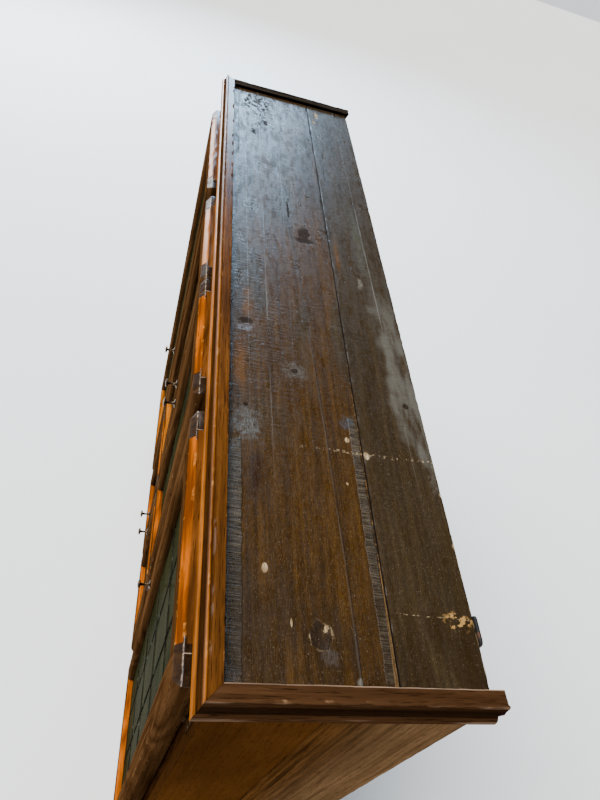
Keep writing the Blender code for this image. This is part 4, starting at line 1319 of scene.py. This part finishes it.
def leaf(low, high, seed):
    """A flat plate between two corners, with softened edges."""
    wide, deep = high[0] - low[0], high[1] - low[1]
    corners = [(0, 0, 0.0003), (wide, 0, 0.0003), (wide, deep, 0.0003), (0, deep, 0.0003)]
    ring = softened(corners, 0.02)
    return carried(ring, low, (1, 0, 0), (0, 1, 0), 0, high[2] - low[2], 0.02, seed, 0.0, 0.0, 0.0003)


case_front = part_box("frieze_rail")[0].y
FIXED_LEAF, LEAF = 0.017, 0.0014  # reach of the fixed leaf from the pin, thickness of both
screw = [(0.0030, 0.0), (0.0029, 0.0004), (0.0022, 0.0008), (0.0010, 0.0010), (0.0004, 0.0010)]
for door, (door_low, _) in doors.items():
    for place in ("lower", "upper"):
        node = door + "_" + place + "_hinge"
        low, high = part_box(node)
        length = high.z - low.z
        radius = (high.y - low.y) / 2
        hand = -1 if low.x < door_low.x else 1
        pin = low.x + radius if hand < 0 else high.x - radius
        middle = (low.y + high.y) / 2
        barrel = turned((pin, middle, low.z), (0, 0, 1), barrel_profile(radius, length), 24)
        inner = sorted((pin, high.x if hand < 0 else low.x))
        foot, top = low.z + 0.001, high.z - 0.001
        moving = leaf((inner[0], high.y - LEAF, foot), (inner[1], high.y, top), 360)
        piece(node + "_barrel_and_leaf", [barrel, moving], hinge_look, door, "brass", node)
        outer = sorted((pin + hand * 0.0024, pin + hand * FIXED_LEAF))
        plate = leaf((outer[0], case_front - LEAF, foot), (outer[1], case_front - 0.0001, top), 361)
        centre = (outer[0] + outer[1]) / 2 + hand * 0.001
        heads = [
            turned((centre, case_front - LEAF, low.z + length * share), (0, -1, 0), screw, 16)
            for share in (0.18, 0.5, 0.82)
        ]
        piece(node + "_fixed_leaf", [plate, *heads], hinge_look, "carcass", "brass")

# ---------------------------------------------------------------------------------------------
# The wall strap: a flat of wrought iron, black and a little rusty, screwed on the back edge near
# the right end, its corners rounded.


def black_iron():
    """Iron under old black paint, with rust showing through here and there."""
    look, tree, shader = new_look("black_iron")
    place = wire(tree, "TexCoord").outputs["Object"]
    rust = noise(tree, place, 90.0, 6.0)
    shades = [(0.45, (0.010, 0.010, 0.011)), (0.62, (0.022, 0.018, 0.016)), (0.75, (0.11, 0.045, 0.020))]
    tree.links.new(tones(tree, rust, shades), shader.inputs["Base Color"])
    shader.inputs["Metallic"].default_value = 0.5
    tree.links.new(ranged(tree, rust, 0.40, 0.85), shader.inputs["Roughness"])
    relief(tree, shader, rust, 0.0006, 0.6)
    return look


iron_look = black_iron()
low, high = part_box("wall_strap")
wide, tall = high.x - low.x, high.z - low.z
ring = softened([(0, 0, 0.006), (wide, 0, 0.006), (wide, tall, 0.006), (0, tall, 0.006)], 0.006)
foot, thick = (high.x, low.y, low.z), high.y - low.y
flat = carried(ring, foot, (-1, 0, 0), (0, 0, 1), 0, thick, 0.003, 380, 0.0003, 0, 0.0008)
centre = (low.x + high.x) / 2
heads = [turned((centre, high.y - 0.001, low.z + tall * share), (0, 1, 0), screw, 16) for share in (0.2, 0.5)]
piece("iron_wall_strap", [flat, *heads], iron_look, "carcass", "iron", "wall_strap")
